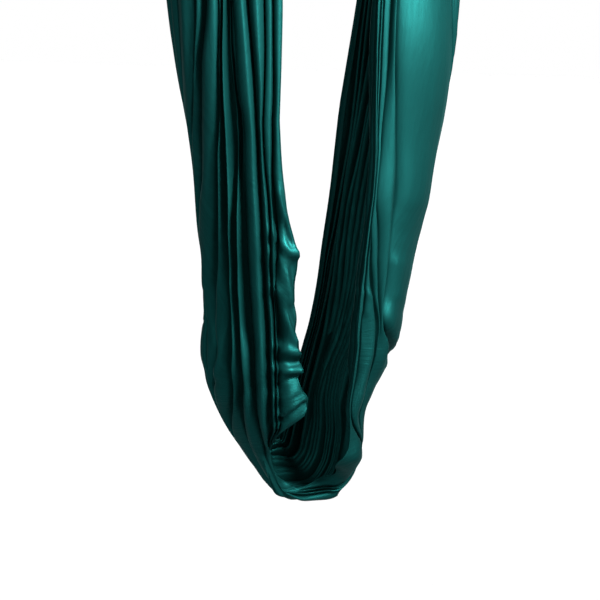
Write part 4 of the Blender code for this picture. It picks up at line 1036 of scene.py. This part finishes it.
def thread(name, color):
    n = Nodes(name)
    v = n.coords("UV", (1, 1, 1))
    twist = n.add("ShaderNodeTexWave", wave_type="BANDS", bands_direction="DIAGONAL")
    twist.inputs["Scale"].default_value = 700.0
    n.link(v, "Vector", twist, "Vector")
    shade = n.ramp(twist, "Fac", [(0.1, tuple(x * 0.6 for x in color)), (0.9, color)])
    n.link(shade, "Color", n.bsdf, "Base Color")
    n.set(Roughness=0.6, Sheen_Weight=0.2)
    b = n.bump(twist, "Fac", 0.5, 0.0002)
    n.link(b, "Normal", n.bsdf, "Normal")
    return n.mat


WEB_T, WEB_W, LOOP_R = 0.0025, 0.016, 0.0080
UPPER_LOW, LOWER_TOP = -0.1312, -0.4512
# a rounded strip's outline, from the middle of one face round to it again, and where the tracer lines fall along it
_edge = [(-WEB_T / 2 * 0.94, -WEB_W / 2 + 0.0012), (-WEB_T / 2 * 0.94, 0.0), (-WEB_T / 2 * 0.94, WEB_W / 2 - 0.0012), (-WEB_T / 2 * 0.70, WEB_W / 2 - 0.0003), (0.0, WEB_W / 2), (WEB_T / 2 * 0.70, WEB_W / 2 - 0.0003),
         (WEB_T / 2 * 0.94, WEB_W / 2 - 0.0012), (WEB_T / 2 * 0.94, 0.0), (WEB_T / 2 * 0.94, -WEB_W / 2 + 0.0012), (WEB_T / 2 * 0.70, -WEB_W / 2 + 0.0003), (0.0, -WEB_W / 2), (-WEB_T / 2 * 0.70, -WEB_W / 2 + 0.0003)]
WEB_SECTION = np.array(_edge)
_d = np.r_[0, np.cumsum(np.linalg.norm(np.diff(WEB_SECTION, axis=0), axis=1))]
WEB_LINES = (float(np.interp(0.0031, [0, WEB_W / 2 - 0.0012], [_d[1], _d[2]])), float(_d[1] - (np.interp(0.0031, [0, WEB_W / 2 - 0.0012], [_d[1], _d[2]]) - _d[1])),
             float(_d[7] + 0.0031), float(_d[7] - 0.0031))
WEBBING = webbing("woven_webbing")
THREAD = thread("tack_thread", (0.020, 0.16, 0.155))
NECK = 0.034
Z0, Z1 = UPPER_LOW - NECK, LOWER_TOP + NECK
PITCH = (Z0 - Z1) / 4


def arc_points(r, a0, a1, count):
    return [(r * math.cos(a0 + (a1 - a0) * k / count), r * math.sin(a0 + (a1 - a0) * k / count)) for k in range(count + 1)]


for side, sgn in (("left", -1), ("right", 1)):
    x0, out = sgn * 0.330, sgn
    r = LOOP_R + WEB_T / 2
    half = WEB_T / 2
    uz = [(-half, Z1 + (Z0 - Z1) * k / 60) for k in range(1, 60)]                        # the plain layer, upwards
    for k in range(1, 15):                                                               # the neck opens into the loop
        f = k / 15
        e = f * f * (3 - 2 * f)
        uz.append((-half - (r - half) * e, Z0 + NECK * f))
    uz += [(-u, UPPER_LOW + z) for u, z in arc_points(r, 0.0, math.pi, 28)]
    for k in range(1, 15):
        f = 1 - k / 15
        e = f * f * (3 - 2 * f)
        uz.append((half + (r - half) * e, Z0 + NECK * f))
    for p in range(4):                                                                   # the pocket layer, downwards
        a, b = Z0 - p * PITCH - 0.005, Z0 - (p + 1) * PITCH + 0.005
        uz.append((half + 0.0001, a + 0.0035))
        for k in range(0, 25):
            f = k / 24
            uz.append((half + 0.0001 + 0.0133 * math.sin(math.pi * f) ** 0.8, a + (b - a) * f))
        uz.append((half + 0.0001, b - 0.0035))
    for k in range(1, 15):
        f = k / 15
        e = f * f * (3 - 2 * f)
        uz.append((half + (r - half) * e, Z1 - NECK * f))
    uz += [(u, LOWER_TOP + z) for u, z in arc_points(r, 0.0, -math.pi, 28)]
    for k in range(1, 15):
        f = 1 - k / 15
        e = f * f * (3 - 2 * f)
        uz.append((-half - (r - half) * e, Z1 - NECK * f))
    uz.append(uz[0])
    uz = np.array(uz)
    # even steps, softly cornered, one closed band
    run_ = np.r_[0, np.cumsum(np.linalg.norm(np.diff(uz, axis=0), axis=1))]
    count = 620
    at = np.linspace(0, run_[-1], count, endpoint=False)
    pu, pz = np.interp(at, run_, uz[:, 0]), np.interp(at, run_, uz[:, 1])
    kern = np.exp(-(np.arange(-4, 5) / 1.6) ** 2)
    kern /= kern.sum()
    pu = np.convolve(np.r_[pu[-4:], pu, pu[:4]], kern, "valid")
    pz = np.convolve(np.r_[pz[-4:], pz, pz[:4]], kern, "valid")
    path = np.stack([x0 + out * pu, np.zeros(count), pz], 1)
    nxt, prv = np.roll(path, -1, 0), np.roll(path, 1, 0)
    tan = (nxt - prv) / np.linalg.norm(nxt - prv, axis=1)[:, None]
    b_ = np.repeat(np.array([[0.0, 1.0, 0.0]]), count, 0)
    a_ = np.cross(b_, tan)
    rings = path[:, None] + WEB_SECTION[None, :, :1] * a_[:, None] + WEB_SECTION[None, :, 1:] * b_[:, None]
    m = len(WEB_SECTION)
    verts = np.concatenate([rings, rings[:, :1]], 1)
    verts = np.concatenate([verts, verts[:1]], 0)
    us = np.repeat(np.r_[_d, _d[-1] + np.linalg.norm(WEB_SECTION[0] - WEB_SECTION[-1])][None], count + 1, 0)
    vs = np.repeat((np.arange(count + 1) * run_[-1] / count)[:, None], m + 1, 1)
    strap_ob = build_grid(f"{side}_strap_webbing", verts, us, vs, WEBBING, f"{side}_strap")
    bm = bmesh.new()
    bm.from_mesh(strap_ob.data)
    bmesh.ops.remove_doubles(bm, verts=bm.verts, dist=1e-6)
    bmesh.ops.recalc_face_normals(bm, faces=bm.faces)
    bm.to_mesh(strap_ob.data)
    bm.free()
    # bar tacks: a close zigzag of thread on both faces where the two layers are sewn together
    verts, faces, uvs = [], [], []
    for p in range(5):
        zc = Z0 - p * PITCH
        for face in (-1, 1):
            u = face * (WEB_T + 0.00008)
            zig = []
            turns = 22
            for k in range(turns * 2 + 1):
                z = zc + 0.0042 - 0.0084 * k / (turns * 2)
                zig.append((x0 + out * u, (0.0058 if k % 2 else -0.0058), z))
            for k in range(len(zig) - 1):
                a, b = np.array(zig[k]), np.array(zig[k + 1])
                d = (b - a) / np.linalg.norm(b - a)
                side_dir = np.cross(d, (1.0, 0.0, 0.0))
                side_dir /= np.linalg.norm(side_dir)
                base_i = len(verts)
                for end, w in ((a, 0.0), (a + d * 0.0004, 1.0), (b - d * 0.0004, 1.0), (b, 0.0)):
                    for c in range(6):
                        th_ = c / 6 * 2 * math.pi
                        off = np.array([math.cos(th_), 0, 0]) * 0.00026 + side_dir * math.sin(th_) * 0.00026
                        lift_in = 0.00035 * (1 - w) * face * -out
                        verts.append(end + off * (0.55 + 0.45 * w) + np.array([lift_in, 0, 0]))
                        uvs.append((c * 0.00027, float(np.linalg.norm(end - a))))
                for row in range(3):
                    for c in range(6):
                        faces.append((base_i + row * 6 + c, base_i + row * 6 + (c + 1) % 6, base_i + (row + 1) * 6 + (c + 1) % 6, base_i + (row + 1) * 6 + c))
                faces.append(tuple(base_i + c for c in range(6))[::-1])
                faces.append(tuple(base_i + 18 + c for c in range(6)))
    tacks = new_mesh(f"{side}_strap_stitching", verts, faces)
    uvs = np.array(uvs)
    add_uv(tacks.data, uvs[:, 0], uvs[:, 1])
    tacks.data.materials.append(THREAD)
    bm = bmesh.new()
    bm.from_mesh(tacks.data)
    bmesh.ops.recalc_face_normals(bm, faces=bm.faces)
    bm.to_mesh(tacks.data)
    bm.free()
    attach(tacks, f"{side}_strap")
    for piece in (strap_ob, tacks):
        flag(piece)
        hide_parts(f"{side}_daisy_strap")


# ------------------------------------------------------------------ the metal
def metal(name, color, rough, brush=(1, 1, 1), scratch=0.35, grain=240.0, bump_height=0.00008, tint=None):
    """Bare or plated metal: fine directional brushing, a little uneven polish, and small marks."""
    n = Nodes(name)
    lines = n.noise(n.coords("Object", brush), grain, 5.0, 0.65)
    cloudy = n.noise(n.coords("Object"), 38.0, 3.0, 0.5)
    marks = n.noise(n.coords("Object", (1, 1, 1)), 520.0, 2.0, 0.4, 1.5)
    both = n.math("MULTIPLY", (lines, "Fac"), (cloudy, "Fac"))
    r = n.range(both, "Value", max(rough - 0.06, 0.06), rough + 0.11, (0.10, 0.42))
    n.link(r, "Result", n.bsdf, "Roughness")
    dark = tuple(x * 0.80 for x in color)
    c = n.ramp(cloudy, "Fac", [(0.30, tint or dark), (0.62, color)])
    n.link(c, "Color", n.bsdf, "Base Color")
    n.set(Metallic=1.0)
    b = n.bump(lines, "Fac", scratch, bump_height)
    b2 = n.bump(marks, "Fac", 0.06, 0.00006, b)
    n.link(b2, "Normal", n.bsdf, "Normal")
    return n.mat


def powder_coat(name, color):
    """Satin powder coat: a fine orange-peel skin with bright wear at its roughest places."""
    n = Nodes(name)
    peel = n.noise(n.coords("Object"), 900.0, 2.0, 0.5)
    broad = n.noise(n.coords("Object"), 30.0, 4.0, 0.6)
    c = n.ramp(broad, "Fac", [(0.3, tuple(x * 0.75 for x in color)), (0.7, color)])
    n.link(c, "Color", n.bsdf, "Base Color")
    r = n.range(broad, "Fac", 0.36, 0.52)
    n.link(r, "Result", n.bsdf, "Roughness")
    n.set(Specular_IOR_Level=0.3)
    n.bsdf.inputs["Specular Tint"].default_value = (0.40, 0.40, 0.41, 1)
    b = n.bump(peel, "Fac", 0.35, 0.00025)
    n.link(b, "Normal", n.bsdf, "Normal")
    return n.mat


METALS = {
    "anchor_plate": powder_coat("powder_coat_black", (0.018, 0.0185, 0.0195)),
    "anchor_bow": metal("brushed_bow_steel", (0.30, 0.305, 0.31), 0.20, (6, 6, 1), 0.12),
    "lag_screw": metal("zinc_plate_screw", (0.36, 0.36, 0.345), 0.24, (1, 1, 5), tint=(0.29, 0.275, 0.225)),
    "washer": metal("zinc_plate_washer", (0.38, 0.38, 0.375), 0.22, (1, 1, 1), tint=(0.31, 0.305, 0.275)),
    "carabiner_body": metal("polished_steel", (0.30, 0.305, 0.315), 0.13, (5, 5, 1), 0.08, 300.0),
    "carabiner_gate": metal("turned_steel", (0.33, 0.335, 0.345), 0.14, (1, 1, 7), 0.10, 300.0),
    "gate_pin": metal("rivet_steel", (0.26, 0.26, 0.27), 0.26, (1, 1, 1)),
    "carabiner_spring": metal("spring_wire", (0.30, 0.30, 0.305), 0.22, (1, 1, 1)),
    "carabiner_sleeve": metal("black_anodised", (0.030, 0.030, 0.033), 0.30, (1, 1, 6), 0.30, 260.0, tint=(0.022, 0.022, 0.025)),
}


def metal_for(name):
    for word, mat in (("anchor_plate", "anchor_plate"), ("anchor_bow", "anchor_bow"), ("lag_screw", "lag_screw"), ("washer", "washer"), ("_body", "carabiner_body"), ("_gate", "carabiner_gate"), ("_pin", "gate_pin"), ("_spring", "carabiner_spring"), ("_sleeve", "carabiner_sleeve")):
        if word in name:
            return METALS[mat]
    return None


for ob in bpy.context.scene.objects:
    if ob.name in NODES and ob.type == "MESH":
        mat = metal_for(ob.name)
        if mat is not None:
            for k in range(len(ob.material_slots)):
                ob.material_slots[k].material = mat
            flag(ob)

# locking sleeves, knurled: fine flutes between two plain collars
for side in ("left", "right"):
    for level in ("upper", "lower"):
        node = f"{side}_{level}_carabiner_sleeve"
        lo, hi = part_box(node)
        cx, cy = (lo[0] + hi[0]) / 2, (lo[1] + hi[1]) / 2
        radius = (hi[1] - lo[1]) / 2
        inner = radius - 0.0024
        flutes, per = 30, 6
        around = flutes * per
        th = np.arange(around) / around * 2 * math.pi
        flute = np.abs(np.sin(th * flutes / 2)) ** 0.7
        zs, outer = [], []
        height = hi[2] - lo[2]
        for f, base_r, deep in ((0.0, 0.955, 0), (0.02, 0.99, 0), (0.05, 1.0, 0), (0.13, 1.0, 0), (0.145, 0.965, 0), (0.17, 0.965, 0), (0.185, 0.99, 0.3), (0.20, 1.0, 1), (0.80, 1.0, 1), (0.815, 0.99, 0.3), (0.83, 0.965, 0), (0.855, 0.965, 0), (0.87, 1.0, 0), (0.95, 1.0, 0), (0.98, 0.99, 0), (1.0, 0.955, 0)):
            zs.append(lo[2] + height * f)
            outer.append(radius * base_r - 0.00045 * deep * (1 - flute))
        rings = [(z, np.full(around, 1.0) * r_) for z, r_ in zip(zs, outer)]
        rings += [(hi[2], np.full(around, inner + 0.0003)), (hi[2] - 0.0005, np.full(around, inner)), (lo[2] + 0.0005, np.full(around, inner)), (lo[2], np.full(around, inner + 0.0003))]
        verts, faces = [], []
        for z, rr in rings:
            verts.extend(np.stack([cx + rr * np.cos(th), cy + rr * np.sin(th), np.full(around, z)], 1).tolist())
        n_r = len(rings)
        for a in range(n_r):
            b = (a + 1) % n_r
            for c in range(around):
                c2 = (c + 1) % around
                faces.append((a * around + c, a * around + c2, b * around + c2, b * around + c))
        sleeve = new_mesh(f"{side}_{level}_knurled_sleeve", verts, faces, smooth=False)
        sleeve.data.materials.append(METALS["carabiner_sleeve"])
        flag(sleeve)
        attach(sleeve, f"{side}_{level}_sleeve")
        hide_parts(node)
